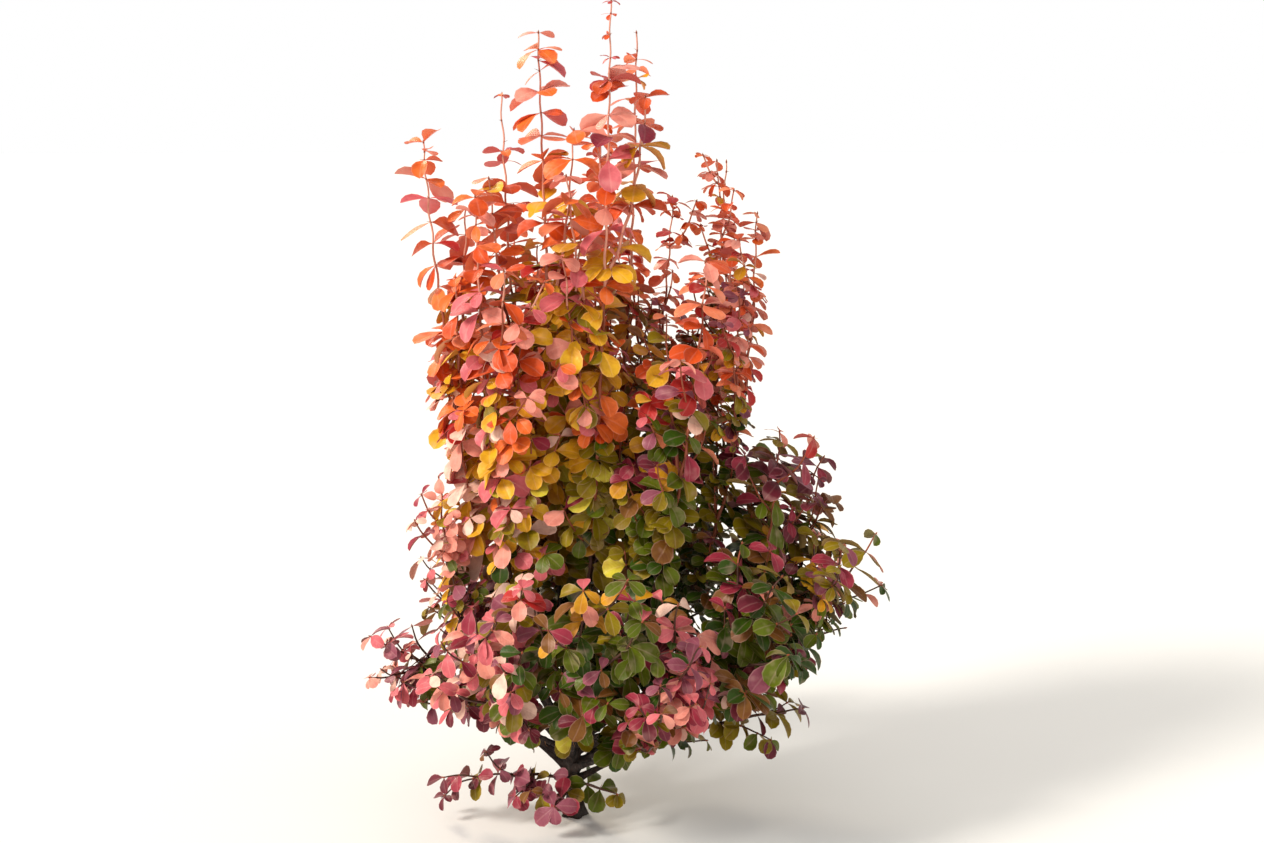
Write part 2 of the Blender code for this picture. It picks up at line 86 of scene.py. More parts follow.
# The trunk's radius at shares of its height: root flare, waist, head and crown.
TRUNK_PROFILE = (
    (0.00, 0.0125),
    (0.07, 0.0098),
    (0.18, 0.0076),
    (0.34, 0.0070),
    (0.50, 0.0090),
    (0.66, 0.0112),
    (0.84, 0.0112),
    (0.95, 0.0092),
    (1.00, 0.0064),
)
SWERVE = 0.5
BOUGH_SEAT = 0.0030
BOUGH_RINGS = 6
BOUGH_BASE_RADIUS = 0.0029
BOUGH_TIP_RADIUS = 0.0021
JOINT_GAP = 0.0003
SHOOT_RADIUS = 0.0018
SHOOT_BOW = 0.75
SHOOT_RISE = 0.35
RING_STEP = 0.050
FEWEST_RINGS = 3
LENGTH_POINTS = 12
FIRST_SHOOT = 0.03
LAST_SHOOT = 0.95
LOWEST_SHOOT = 0.028
SHOOT_TRIES = 10
SHOOT_STEP = 0.006
ROOT_POINTS = 2
SHOOT_GAP = 0.022
TIP_GAP = 0.026
LIMB_GAP = 0.004
LIMB_STEP = 0.003
GROUND_CLEAR = 0.002
HEM_START = 0.016
HEM_SLOPE = 0.62

# The finer growth, which only the looks have.
FINE_STEP = 0.006  # between the rings of a twig
WAVER = 0.0011  # how far a stem strays to and fro between its nodes
WAVER_LENGTH = 0.019
WAVER_TURN = 0.6  # radians round the stem, of the side to which it strays
TWIG_WAVER = 0.6  # how far a twig strays, of what a shoot does
TWIG_TRIES = 4
TWIG_STEP = 0.030  # along a shoot, between the twigs that spring from it
TWIG_LENGTHS = (0.030, 0.062)
TWIG_FADE = (0.36, 0.52)  # heights between which twigs thin out to none
FINE_RISE = 0.60  # how much higher they stand where leaves are smaller
TWIG_SPREAD = 0.75  # how far a twig stands off its shoot, beside how far it runs on with it
TWIG_RISE = 0.35
TWIG_RADIUS = 0.0010
TWIG_RINGS = 4
FIRST_TWIG = (0.4, 1.0)  # range of the first twig's distance from its shoot's root, of the usual
TWIG_JITTER = (0.8, 1.25)  # and of the other twigs' distances from the last one
BOUGH_TWIGS = 0.5  # share of a bough beyond which twigs spring from it
FINEST = 0.7  # radius of a stem's very tip, of a twig's
TALL = 0.45  # height of tip above which a line's twigs never stand outwards
TWIG_GAP = 0.008  # kept between a twig and another mass's shoots
YOUNG_HEIGHT = 0.50  # above which bark is young and pale
RED_HEIGHT = 0.27  # and above which it is red
LEAF_LIMB_CLEAR = 0.0015
LEAF_STEM_CLEAR = 0.0022


class Line(NamedTuple):
    """One line of growth from the trunk to its leading tip: a bare bough, then a mass of foliage."""

    name: str
    tip: tuple  # the leading tip
    height: float  # on the trunk, where the bough leaves it
    side: float  # degrees round the trunk from its right, anticlockwise, where that is
    bow: float  # share of the sideways reach that is gained low down
    rise: float  # share of the climb at which that is
    bare: float  # share of the line that is the bough
    shoots: int  # side shoots of the mass
    spread: float  # how far a side shoot stands off its leader
    reach: float  # share of the leader that a side shoot grows up beside
    whip: float = 0.0  # leafless length at the leading tip


UPRIGHTS = (
    Line("upright_far_left", (-0.130, -0.020, 0.641), 0.082, 186, 0.78, 0.30, 0.36, 4, 0.034, 0.40),
    Line("upright_left", (-0.078, -0.085, 0.595), 0.091, 226, 0.90, 0.26, 0.36, 4, 0.036, 0.40),
    Line("upright_left_inner", (-0.064, 0.030, 0.684), 0.102, 156, 0.70, 0.26, 0.34, 4, 0.034, 0.36, 0.045),
    Line("upright_tall_left", (-0.026, -0.035, 0.735), 0.106, 236, 0.30, 0.28, 0.32, 4, 0.034, 0.34),
    Line("upright_front", (0.038, -0.095, 0.757), 0.102, 294, 0.80, 0.26, 0.30, 5, 0.036, 0.30, 0.050),
    Line("upright_tall_right", (0.060, 0.030, 0.739), 0.104, 12, 0.85, 0.26, 0.32, 4, 0.036, 0.34, 0.020),
    Line("upright_right_inner", (0.095, 0.085, 0.589), 0.086, 60, 0.90, 0.24, 0.36, 4, 0.036, 0.40),
    Line("upright_right", (0.143, 0.045, 0.623), 0.090, 21, 0.90, 0.22, 0.36, 4, 0.034, 0.36, 0.045),
    Line("upright_far_right", (0.167, -0.020, 0.578), 0.086, -16, 1.00, 0.22, 0.40, 3, 0.034, 0.40),
    Line("upright_front_right", (0.120, -0.085, 0.540), 0.088, -54, 0.95, 0.24, 0.36, 4, 0.038, 0.40),
    Line("upright_low_right", (0.188, -0.050, 0.385), 0.066, -14, 1.00, 0.24, 0.44, 4, 0.034, 0.42),
    Line("upright_low_left", (-0.120, -0.030, 0.339), 0.061, 198, 0.98, 0.22, 0.44, 4, 0.026, 0.42),
    Line("upright_back_left", (-0.060, 0.110, 0.580), 0.088, 122, 0.85, 0.26, 0.36, 4, 0.038, 0.40),
    Line("upright_back", (0.025, 0.120, 0.640), 0.098, 86, 0.85, 0.26, 0.34, 4, 0.038, 0.38),
)
SPRAYS = (
    Line("spray_left_low", (-0.188, -0.030, 0.187), 0.046, 178, 0.50, 0.66, 0.34, 6, 0.034, 0.36),
    Line("spray_front_left", (-0.080, -0.150, 0.250), 0.070, 236, 0.80, 0.34, 0.36, 6, 0.050, 0.45),
    Line("spray_front", (0.015, -0.180, 0.275), 0.065, 272, 0.80, 0.34, 0.36, 6, 0.052, 0.45),
    Line("spray_front_right", (0.112, -0.195, 0.231), 0.048, 292, 0.70, 0.40, 0.38, 6, 0.050, 0.45),
    Line("spray_right_high", (0.236, 0.020, 0.348), 0.072, 26, 0.75, 0.35, 0.42, 6, 0.044, 0.40),
    Line("spray_right", (0.279, -0.040, 0.288), 0.053, -14, 0.75, 0.45, 0.40, 6, 0.044, 0.40),
    Line("spray_right_low", (0.262, 0.050, 0.205), 0.046, 42, 0.50, 0.60, 0.38, 6, 0.044, 0.40),
    Line("spray_right_front", (0.185, -0.120, 0.270), 0.074, -50, 0.75, 0.38, 0.38, 6, 0.052, 0.45),
    Line("spray_back_right", (0.150, 0.150, 0.290), 0.070, 62, 0.80, 0.34, 0.38, 6, 0.052, 0.45),
    Line("spray_back", (0.020, 0.190, 0.270), 0.060, 96, 0.80, 0.34, 0.36, 6, 0.052, 0.45),
    Line("spray_back_left", (-0.130, 0.110, 0.255), 0.066, 142, 0.75, 0.34, 0.38, 6, 0.050, 0.45),
)
FOOT_TWIGS = (
    Line("drooping_right", (0.212, -0.060, 0.128), 0.036, -34, 0.50, 0.80, 0.60, 3, 0.022, 0.45),
    Line("foot_left", (-0.122, -0.030, 0.050), 0.040, 214, 0.50, 1.20, 0.0, 3, 0.020, 0.30),
    Line("foot_front", (-0.016, -0.062, 0.034), 0.030, 256, 0.60, 1.20, 0.0, 2, 0.022, 0.50),
    Line("foot_right", (0.042, -0.040, 0.036), 0.034, 318, 0.50, 1.50, 0.0, 2, 0.022, 0.50),
)
LINES = UPRIGHTS + SPRAYS + FOOT_TWIGS
BOUGH_LINES = [(owner, line) for owner, line in enumerate(LINES) if line.bare]
# Leaves on these lines are smaller or larger than on the others.
LEAF_SIZES = {
    "upright_right": 0.76,
    "upright_far_right": 0.80,
    "upright_right_inner": 0.80,
    "upright_far_left": 1.30,
    "upright_left": 1.14,
    "upright_left_inner": 1.24,
    "upright_tall_left": 1.20,
    "upright_tall_right": 1.06,
    "upright_front": 1.20,
    "upright_front_right": 1.12,
    "upright_low_right": 1.16,
    "upright_low_left": 0.84,
    "spray_left_low": 0.94,
    "spray_front": 1.08,
    "spray_right_high": 1.18,
    "spray_right_front": 1.18,
}


class Stem(NamedTuple):
    """A leader, side shoot or twig: its mass, its rough path, its radii and the bare length at its tip."""

    owner: int
    path: list
    radius: float
    tip_radius: float
    whip: float = 0.0
    twig: bool = False


class Leaf(NamedTuple):
    """One leaf: its root, its axes (along, across, out of its upper face), sizes, bend, tint and mass."""

    root: Vector
    axes: tuple
    length: float
    width: float
    arch: float
    fold: float
    tint: str
    owner: int


class Bud(NamedTuple):
    """A node of a stem: where it is, how the stem runs there, which way its spine points, and its size."""

    place: Vector
    direction: Vector
    outward: Vector
    size: float


# The mixes of tints that a part of the crown deals out, by weight: first for the leaves at the rim and at
# the tips of shoots, then for those further in. Besides the leaves' own colours they paint the light: pale
# pink and cream on the left is painted sunlight, bright gold inside paints sunlight shining through the
# leaves, and the dark greens low on the skirt and on the right are painted shade.
MIXES = {
    "crest": (
        {"orange": 44, "ember": 24, "coral": 12, "salmon": 8, "rose": 6, "crimson": 6},
        {"orange": 36, "ember": 26, "gold": 22, "crimson": 8, "coral": 8},
    ),
    "crest_right": (
        {"coral": 30, "orange": 16, "ember": 22, "salmon": 18, "crimson": 10, "rose": 4},
        {"ember": 36, "orange": 16, "crimson": 14, "coral": 16, "gold": 18},
    ),
    # The pale tints of the upper left are partly painted sunlight.
    "upper_left": (
        {"orange": 26, "coral": 14, "salmon": 16, "blush": 12, "rose": 16, "crimson": 8, "ember": 8},
        {"gold": 42, "ochre": 14, "orange": 18, "blush": 10, "lime": 8, "coral": 8},
    ),
    "upper": (
        {"orange": 20, "crimson": 12, "salmon": 22, "rose": 16, "blush": 12, "coral": 12, "ember": 6},
        {"gold": 46, "ochre": 26, "orange": 8, "olive": 10, "crimson": 5, "lime": 5},
    ),
    "upper_right": (
        {"crimson": 18, "salmon": 24, "coral": 20, "ember": 16, "rose": 10, "mauve": 8, "blush": 4},
        {"olive": 44, "ochre": 34, "gold": 10, "bronze": 6, "mauve": 6},
    ),
    # The pale pinks and cream of the left waist are partly painted sunlight.
    "waist_left": (
        {"rose": 30, "blush": 26, "salmon": 36, "magenta": 8},
        {"gold": 28, "lime": 12, "blush": 24, "salmon": 24, "rose": 12},
    ),
    "waist_amber": (
        {"rose": 22, "salmon": 18, "crimson": 12, "magenta": 10, "gold": 20, "ochre": 18},
        {"gold": 48, "ochre": 28, "olive": 16, "lime": 8},
    ),
    "waist": (
        {"magenta": 14, "crimson": 10, "rose": 12, "salmon": 6, "bronze": 12, "olive": 30, "ochre": 16},
        {"olive": 56, "ochre": 22, "moss": 14, "bronze": 4, "lime": 4},
    ),
    "waist_right": (
        {"maroon": 14, "mauve": 6, "magenta": 12, "bronze": 16, "olive": 22, "moss": 30},
        {"olive": 36, "moss": 38, "green": 20, "bronze": 3, "lime": 3},
    ),
    "skirt_left": (
        {"rose": 28, "mauve": 18, "salmon": 18, "blush": 18, "magenta": 10, "maroon": 4, "olive": 4},
        {"olive": 32, "bronze": 18, "moss": 22, "maroon": 6, "mauve": 10, "rose": 12},
    ),
    # The dark greens and browns of the skirt, here and on its right, are partly painted shade.
    "skirt": (
        {"magenta": 5, "mauve": 6, "maroon": 15, "bronze": 14, "moss": 32, "olive": 8, "green": 20},
        {"moss": 40, "green": 32, "olive": 22, "bronze": 4, "lime": 2},
    ),
    "skirt_right": (
        {"moss": 34, "green": 34, "bronze": 14, "magenta": 4, "maroon": 8, "olive": 6},
        {"green": 58, "moss": 36, "olive": 4, "lime": 2},
    ),
    "far_right": (
        {"magenta": 32, "maroon": 26, "mauve": 20, "rose": 6, "bronze": 8, "olive": 8},
        {"maroon": 28, "magenta": 18, "moss": 24, "olive": 18, "bronze": 12},
    ),
    "sunny_right": (
        {"salmon": 14, "gold": 6, "bronze": 20, "mauve": 12, "olive": 24, "magenta": 12, "moss": 12},
        {"moss": 40, "olive": 24, "green": 32, "ochre": 4},
    ),
    "pink_front": (
        {"rose": 28, "salmon": 24, "ember": 14, "orange": 18, "crimson": 12, "magenta": 4},
        {"gold": 30, "ochre": 24, "rose": 12, "orange": 20, "olive": 14},
    ),
    "rosette": (
        {"rose": 40, "salmon": 24, "mauve": 18, "blush": 6, "magenta": 12},
        {"moss": 44, "green": 40, "bronze": 16},
    ),
    "foot": (
        {"mauve": 44, "magenta": 20, "maroon": 26, "bronze": 10},
        {"mauve": 44, "magenta": 20, "maroon": 20, "olive": 16},
    ),
    "foot_right": (
        {"olive": 48, "moss": 36, "maroon": 16},
        {"olive": 40, "green": 24, "moss": 36},
    ),
}


def colour(label, shade, about):
    """A colour that a user can change, as the screen shows it."""
    return FloatVectorProperty(
        name=label, description=about, subtype="COLOR_GAMMA", size=3, min=0.0, max=1.0, default=shade
    )


def length(label, default, about, low=0.0):
    """A size in metres that a user can change."""
    return FloatProperty(
        name=label, description=about, default=default, min=low, precision=4, unit="LENGTH"
    )


def share(label, default, about, high=1.0):
    """A share or ratio that a user can change."""
    return FloatProperty(name=label, description=about, default=default, min=0.0, max=high, subtype="FACTOR")


def number(label, default, about, low, high):
    """A whole number that a user can change."""
    return IntProperty(name=label, description=about, default=default, min=low, max=high)


def brightness(label, default, about):
    """The strength of a light that a user can change."""
    return FloatProperty(name=label, description=about, default=default)


class ShrubLeafSettings(bpy.types.PropertyGroup):
    """Sizes of the leaves and how many a node bears."""

    low: length("Low leaf", 0.0235, "Length of a leaf at the foot of a shoot", 0.004)
    high: length("High leaf", 0.0240, "Length of a leaf near the tip of a shoot", 0.004)
    width: share("Width", 0.58, "Width of a leaf at the rim of the crown, of its length")
    inner_width: share("Inner width", 0.76, "Width of a leaf inside the crown, of its length")
    spacing: length("Node spacing", 0.0190, "Distance between the nodes of a shoot", 0.006)
    fewest: number("Fewest", 2, "Fewest leaves at a node", 1, 8)
    most: number("Most", 5, "Most leaves at a node", 1, 8)
    arch: share("Arch", 0.85, "How far a leaf bends down towards its tip, in radians", 2.0)
    sway: share("Sway", 0.35, "How far a leaf's face leans at random", 1.0)
    depth: share("Thickness", 0.018, "Thickness of a leaf at its midrib, of its length", 0.1)


class ShrubTints(bpy.types.PropertyGroup):
    """The plain colours that are dealt out to the leaves by spray, some of them lightened or darkened as
    painted sunlight and shade.
    """

    orange: colour("Orange", (0.96, 0.46, 0.19), "Leaves of the crest")
    ember: colour("Ember", (0.87, 0.33, 0.11), "Deep orange leaves of the crest")
    coral: colour("Coral", (0.96, 0.55, 0.38), "Light leaves of the crest")
    # Salmon and rose are the leaves' own pinks, dealt out thickest on the sunny left partly as painted
    # sunlight.
    salmon: colour("Salmon", (0.94, 0.60, 0.52), "Pale pink leaves")
    # The palest tint is painted sunlight: sunlit leaves bleached pale on the left, and flecks of sun inside
    # the crown.
    blush: colour("Blush", (0.98, 0.81, 0.72), "The palest leaves, on the sunny side")
    rose: colour("Rose", (0.86, 0.42, 0.44), "Pink leaves of the sunny side")
    crimson: colour("Crimson", (0.74, 0.18, 0.16), "Red leaves among the orange ones")
    magenta: colour("Magenta", (0.62, 0.19, 0.26), "Purple-red leaves round the waist")
    maroon: colour("Maroon", (0.42, 0.13, 0.18), "Dark red leaves of the right side")
    mauve: colour("Mauve", (0.58, 0.30, 0.36), "Dusty purple leaves of the low sprays")
    # Gold and ochre are the inner leaves' own yellows, lightened as painted light for the sun that shines
    # through them.
    gold: colour("Gold", (0.92, 0.70, 0.14), "Inner leaves of the sunny side")
    ochre: colour("Ochre", (0.82, 0.58, 0.09), "Inner leaves of the middle")
    bronze: colour("Bronze", (0.50, 0.32, 0.12), "Leaves that turn from green to red")
    olive: colour("Olive", (0.55, 0.47, 0.02), "Inner leaves of the shaded side")
    # This bright yellow-green tint is painted sunlight: flecks of sun among the inner leaves, dealt out as
    # leaves.
    lime: colour("Lime", (0.86, 0.80, 0.24), "A few young inner leaves")
    # Moss and green are the low leaves' own greens, kept dark as painted shade low on the right.
    moss: colour("Moss", (0.36, 0.41, 0.02), "Green leaves of the skirt")
    green: colour("Green", (0.21, 0.31, 0.02), "The greenest leaves, low on the right")


class ShrubStemSettings(bpy.types.PropertyGroup):
    """Colours and sizes of the trunk, the boughs and the twigs."""

    old: colour("Old bark", (0.20, 0.13, 0.10), "Trunk and boughs")
    # The colour at the bottom of the bark's cracks is painted shade.
    crack: colour("Cracks", (0.07, 0.045, 0.035), "The bottom of the bark's cracks")
    brown: colour("Brown twigs", (0.33, 0.18, 0.11), "Twigs near the foot")
    red: colour("Red twigs", (0.62, 0.30, 0.18), "Twigs in the middle of the crown")
    young: colour("Young twigs", (0.90, 0.62, 0.52), "Twigs near the top")
    spine: colour("Spines", (0.66, 0.46, 0.30), "The spines at the nodes")
    relief: length("Relief", 0.0011, "Depth of the cracks in the trunk's bark")
    spines: length("Spine length", 0.0075, "Length of the longest spines")
    sides: number("Trunk sides", 56, "Sides of the trunk", 12, 128)


class ShrubStageSettings(bpy.types.PropertyGroup):
    """The floor, the lights and the camera."""

    floor: colour("Floor", (0.93, 0.93, 0.92), "The plain pale floor")
    sky: colour("Surround", (1.0, 1.0, 1.0), "The plain surround")
    surround: brightness("Surround light", 0.68, "Strength of the surround")
    key: brightness("Key light", 2.8, "Strength of the main light")
    back: brightness("Back light", 1.4, "Strength of the light behind")
    distance: length("Camera distance", 1.5, "From the camera to the trunk's plane", 0.2)


class ShrubSettings(bpy.types.PropertyGroup):
    """Everything that a user of the shrub can change."""

    leaf: PointerProperty(type=ShrubLeafSettings)
    tints: PointerProperty(type=ShrubTints)
    stem: PointerProperty(type=ShrubStemSettings)
    stage: PointerProperty(type=ShrubStageSettings)


def settings():
    """The shrub's settings in the open scene."""
    return bpy.context.scene.shrub


def between(low, high, part):
    """The number at a share of the way from one number to another."""
    return low + (high - low) * part


def any_turn(chance):
    """A turn drawn from the whole circle."""
    return chance.uniform(0.0, 2 * math.pi)


def level_part(vector):
    """A vector without its rise."""
    return Vector((vector.x, vector.y, 0.0))


# The screen's curve, which is straight in the dark and a power above that.
DARK_END = 0.04045
DARK_SLOPE = 12.92
CURVE_SHIFT = 0.055
CURVE_POWER = 2.4


def linear(shade):
    """A colour as the screen shows it, as the linear light that a shader takes."""
    return [
        c / DARK_SLOPE if c <= DARK_END else ((c + CURVE_SHIFT) / (1 + CURVE_SHIFT)) ** CURVE_POWER
        for c in shade
    ]


def dimmed(shade, amount):
    """A colour at a share of its brightness."""
    return [own * amount for own in shade]


def blended(shade, other, amount):
    """A colour at a share of the way from one colour to another."""
    return [between(a, b, amount) for a, b in zip(shade, other)]


def trunk_centre(height):
    """The middle of the trunk at a height, on its leaning axis."""
    part = max(height, 0.0) / TRUNK_HEIGHT
    return Vector((TRUNK_LEAN * part**TRUNK_BEND, 0.0, height))


def trunk_radius(part):
    """The trunk's mean radius at a share of its height, straight between the profile's stations."""
    for (low, wide), (high, narrow) in zip(TRUNK_PROFILE, TRUNK_PROFILE[1:]):
        if part <= high:
            return between(wide, narrow, (part - low) / (high - low))
    return TRUNK_PROFILE[-1][1]


def curve_point(start, middle, tip, part):
    """A point on the smooth curve from start to tip that is drawn towards the middle."""
    return start * (1 - part) ** 2 + middle * 2 * part * (1 - part) + tip * part**2


def line_point(line, part):
    """A point on a line, which leaves the trunk sideways and turns up towards its tip."""
    turn = math.radians(line.side)
    out = Vector((math.cos(turn), math.sin(turn), 0.0))
    depth = BOUGH_SEAT if line.bare else -JOINT_GAP
    start = trunk_centre(line.height) + out * (trunk_radius(line.height / TRUNK_HEIGHT) - depth)
    reach = Vector(line.tip) - start
    level = level_part(reach)
    middle = start + level.lerp(out * level.length, SWERVE) * line.bow + UP * reach.z * line.rise
    return curve_point(start, middle, Vector(line.tip), part)


def line_path(line, low, high, count):
    """Points along a line between two of its shares."""
    return [line_point(line, between(low, high, i / (count - 1))) for i in range(count)]


def path_length(path):
    """The length of a path through its points."""
    return sum((b - a).length for a, b in zip(path, path[1:]))


def springing_path(start, tip, rise, count):
    """The path of a shoot that gains most of its sideways reach low down and then goes up to its tip."""
    reach = tip - start
    middle = start + Vector((reach.x * SHOOT_BOW, reach.y * SHOOT_BOW, reach.z * rise))
    return [curve_point(start, middle, tip, i / (count - 1)) for i in range(count)]


def held_in(direction, place):
    """A direction without the part of it that points away from the plant's axis at a place."""
    light = level_part(place).normalized()
    return direction - light * max(0.0, direction.dot(light))


def tangents_of(path):
    """The direction of a path at each of its points."""
    last = len(path) - 1
    return [(path[min(i + 1, last)] - path[max(i - 1, 0)]).normalized() for i in range(last + 1)]


def across(direction):
    """Some direction square to another."""
    other = min((RIGHT, BACK), key=lambda axis: abs(direction.dot(axis)))
    return direction.cross(other).normalized()


def around(direction, turn):
    """The direction square to another that lies at an angle round it."""
    side = across(direction)
    return side * math.cos(turn) + direction.cross(side) * math.sin(turn)


def along(path, part):
    """The point and the direction at a share of a path's length."""
    left = part * path_length(path)
    for a, b in zip(path, path[1:]):
        step = (b - a).length
        if left <= step:
            return a.lerp(b, left / step), (b - a).normalized()
        left -= step
    return path[-1].copy(), (path[-1] - path[-2]).normalized()


def samples_of(path, step):
    """Points at most a step apart along a path."""
    points = []
    for a, b in zip(path, path[1:]):
        count = max(1, math.ceil((b - a).length / step))
        points.extend(a.lerp(b, i / count) for i in range(count))
    points.append(path[-1])
    return np.array([p[:] for p in points])


def hem(line, point):
    """The height that foliage keeps at a point: low at the trunk and higher further out."""
    if line in FOOT_TWIGS:
        return GROUND_CLEAR
    return HEM_START + HEM_SLOPE * math.hypot(point[0], point[1])


class Crown:
    """Where every limb and shoot lies, so that each new one, and each leaf, can keep clear of them."""

    def __init__(self):
        self.points = np.empty((0, 3))  # along the middles of all shoots
        self.owners = np.empty(0, int)
        self.limbs = np.empty((0, 3))  # along the middles of the trunk and boughs
        self.limb_radii = np.empty(0)

    def add_shoot(self, owner, path):
        """Adds a shoot or twig of a mass by its rough path."""
        found = samples_of(path, SHOOT_STEP)
        self.points = np.concatenate([self.points, found])
        self.owners = np.concatenate([self.owners, np.full(len(found), owner)])

    def add_limb(self, path, radii):
        """Adds a limb by close points along its middle and its radius at each."""
        self.limbs = np.concatenate([self.limbs, [p[:] for p in path]])
        self.limb_radii = np.concatenate([self.limb_radii, radii])

    def clear_of_limbs(self, points, clear):
        """Whether all points lie further than a distance from every limb's surface."""
        gaps = np.linalg.norm(points[:, None] - self.limbs[None], axis=2) - self.limb_radii
        return bool((gaps > clear).all())

    def clear_of_others(self, owner, points, clear):
        """Whether all points lie further than a distance from other masses' shoots."""
        others = self.points[self.owners != owner]
        return bool((np.linalg.norm(points[:, None] - others[None], axis=2) > clear).all())

    def shoot_fits(self, owner, path, clear):
        """Whether a shoot keeps clear of the limbs and of other masses' shoots."""
        points = samples_of(path, SHOOT_STEP)[ROOT_POINTS:]
        return self.clear_of_others(owner, points, clear) and self.clear_of_limbs(points, LIMB_GAP)


def leader_path(line):
    """The rough path of the stem of a mass, from its bough's tip, or from the trunk."""
    size = path_length(line_path(line, line.bare, 1.0, LENGTH_POINTS))
    path = line_path(line, line.bare, 1.0, max(FEWEST_RINGS, round(size / RING_STEP)))
    path[0] = path[0] + (path[1] - path[0]).normalized() * JOINT_GAP
    return path


def side_path(line, leader, order, turn):
    """One side shoot: it springs outwards from the leader and then grows up beside it."""
    part = FIRST_SHOOT + (LAST_SHOOT - line.reach) * order / line.shoots
    start, direction = along(leader, part)
    end, _ = along(leader, min(1.0, part + line.reach))
    outward = around(direction, turn)
    if line in UPRIGHTS:
        outward = held_in(outward, end)
    tip = end + outward * line.spread
    tip.z = max(tip.z, LOWEST_SHOOT, hem(line, tip))
    count = max(FEWEST_RINGS, round((tip - start).length / RING_STEP) + 1)
    return springing_path(start, tip, SHOOT_RISE, count)


def tip_gap(path, other):
    """The distance from the tip of a shoot to the nearest point of another."""
    return np.linalg.norm(np.array(path[-1]) - samples_of(other, SHOOT_STEP), axis=1).min()


def side_stems(owner, line, leader, crown):
    """The side shoots that find room beside a leader, as the solids have them."""
    chance = random.Random(line.name)
    found = [leader]
    for order in range(line.shoots):
        turn = any_turn(chance)
        for _ in range(SHOOT_TRIES):
            path = side_path(line, leader, order, turn)
            apart = all(tip_gap(path, other) > TIP_GAP for other in found)
            if apart and crown.shoot_fits(owner, path, SHOOT_GAP):
                found.append(path)
                crown.add_shoot(owner, path)
                break
            turn += GOLDEN_ANGLE
    return [Stem(owner, path, SHOOT_RADIUS, TWIG_RADIUS * FINEST) for path in found[1:]]


def twig_path(line, start, direction, turn, size):
    """A twig that springs from a shoot and bends up along it, on upright growth never outwards."""
    outward = around(direction, turn)
    if line.tip[2] > TALL:
        outward = held_in(outward, start)
    tip = start + (direction + outward * TWIG_SPREAD).normalized() * size
    return springing_path(start, tip, TWIG_RISE, TWIG_RINGS)


def bough_stem(owner):
    """The outer part of a bough, as a stem that bears twigs."""
    line = LINES[owner]
    path = line_path(line, line.bare * BOUGH_TWIGS, line.bare, BOUGH_RINGS)
    return Stem(owner, path, BOUGH_TIP_RADIUS, BOUGH_TIP_RADIUS)


def twig_stems(stem, order, crown):
    """The finer twigs of a shoot, thick low down and none near the top."""
    line = LINES[stem.owner]
    chance = random.Random(f"{line.name} twigs {order}")
    size = path_length(stem.path)
    fineness = max(0.0, 1.0 - LEAF_SIZES.get(line.name, 1.0))
    apart = TWIG_STEP * (1.0 - fineness)
    place = apart * chance.uniform(*FIRST_TWIG)
    turn = any_turn(chance)
    found = []
    while place < size - apart:
        start, direction = along(stem.path, place / size)
        wanted = chance.uniform(*TWIG_FADE) + fineness * FINE_RISE > start.z
        for _ in range(TWIG_TRIES if wanted else 0):
            path = twig_path(line, start, direction, turn, chance.uniform(*TWIG_LENGTHS))
            above = path[-1].z > hem(line, path[-1]) + LOWEST_SHOOT / 2
            if above and crown.shoot_fits(stem.owner, path, TWIG_GAP):
                found.append(Stem(stem.owner, path, TWIG_RADIUS, TWIG_RADIUS * FINEST, twig=True))
                break
            turn += GOLDEN_ANGLE
        turn += GOLDEN_ANGLE
        place += apart * chance.uniform(*TWIG_JITTER)
    return found


@functools.cache
def grown_crown():
    """The crown's space and all its stems: leaders, side shoots and twigs."""
    crown = Crown()
    heights = np.arange(0.0, TRUNK_HEIGHT, LIMB_STEP)
    crown.add_limb([trunk_centre(h) for h in heights], [trunk_radius(h / TRUNK_HEIGHT) for h in heights])
    leaders = []
    for owner, line in enumerate(LINES):
        if line.bare:
            count = round(path_length(line_path(line, 0.0, line.bare, BOUGH_RINGS)) / LIMB_STEP)
            radii = np.linspace(BOUGH_BASE_RADIUS, BOUGH_TIP_RADIUS, count)
            crown.add_limb(line_path(line, 0.0, line.bare, count), radii)
        leaders.append(leader_path(line))
        crown.add_shoot(owner, leaders[-1])
    stems = []
    for owner, (line, leader) in enumerate(zip(LINES, leaders)):
        radius = BOUGH_TIP_RADIUS if line.bare else SHOOT_RADIUS
        stems.append(Stem(owner, leader, radius, TWIG_RADIUS * FINEST, line.whip))
        stems.extend(side_stems(owner, line, leader, crown))
    boughs = [bough_stem(owner) for owner, _ in BOUGH_LINES]
    for order, stem in enumerate(stems + boughs):
        twigs = twig_stems(stem, order, crown)
        for twig in twigs:
            crown.add_shoot(twig.owner, twig.path)
        stems.extend(twigs)
    return crown, stems


def smooth_path(path, step):
    """A fine, even path through the points of a rough one, on a smooth spline."""
    ends = [path[0] * 2 - path[1]] + list(path) + [path[-1] * 2 - path[-2]]
    fine = []
    for before, a, b, after in zip(ends, ends[1:], ends[2:], ends[3:]):
        count = max(1, round((b - a).length / step))
        for i in range(count):
            t = i / count
            fine.append(
                0.5
                * (
                    2 * a
                    + (b - before) * t
                    + (2 * before - 5 * a + 4 * b - after) * t**2
                    + (3 * a - before - 3 * b + after) * t**3
                )
            )
    return fine + [path[-1].copy()]


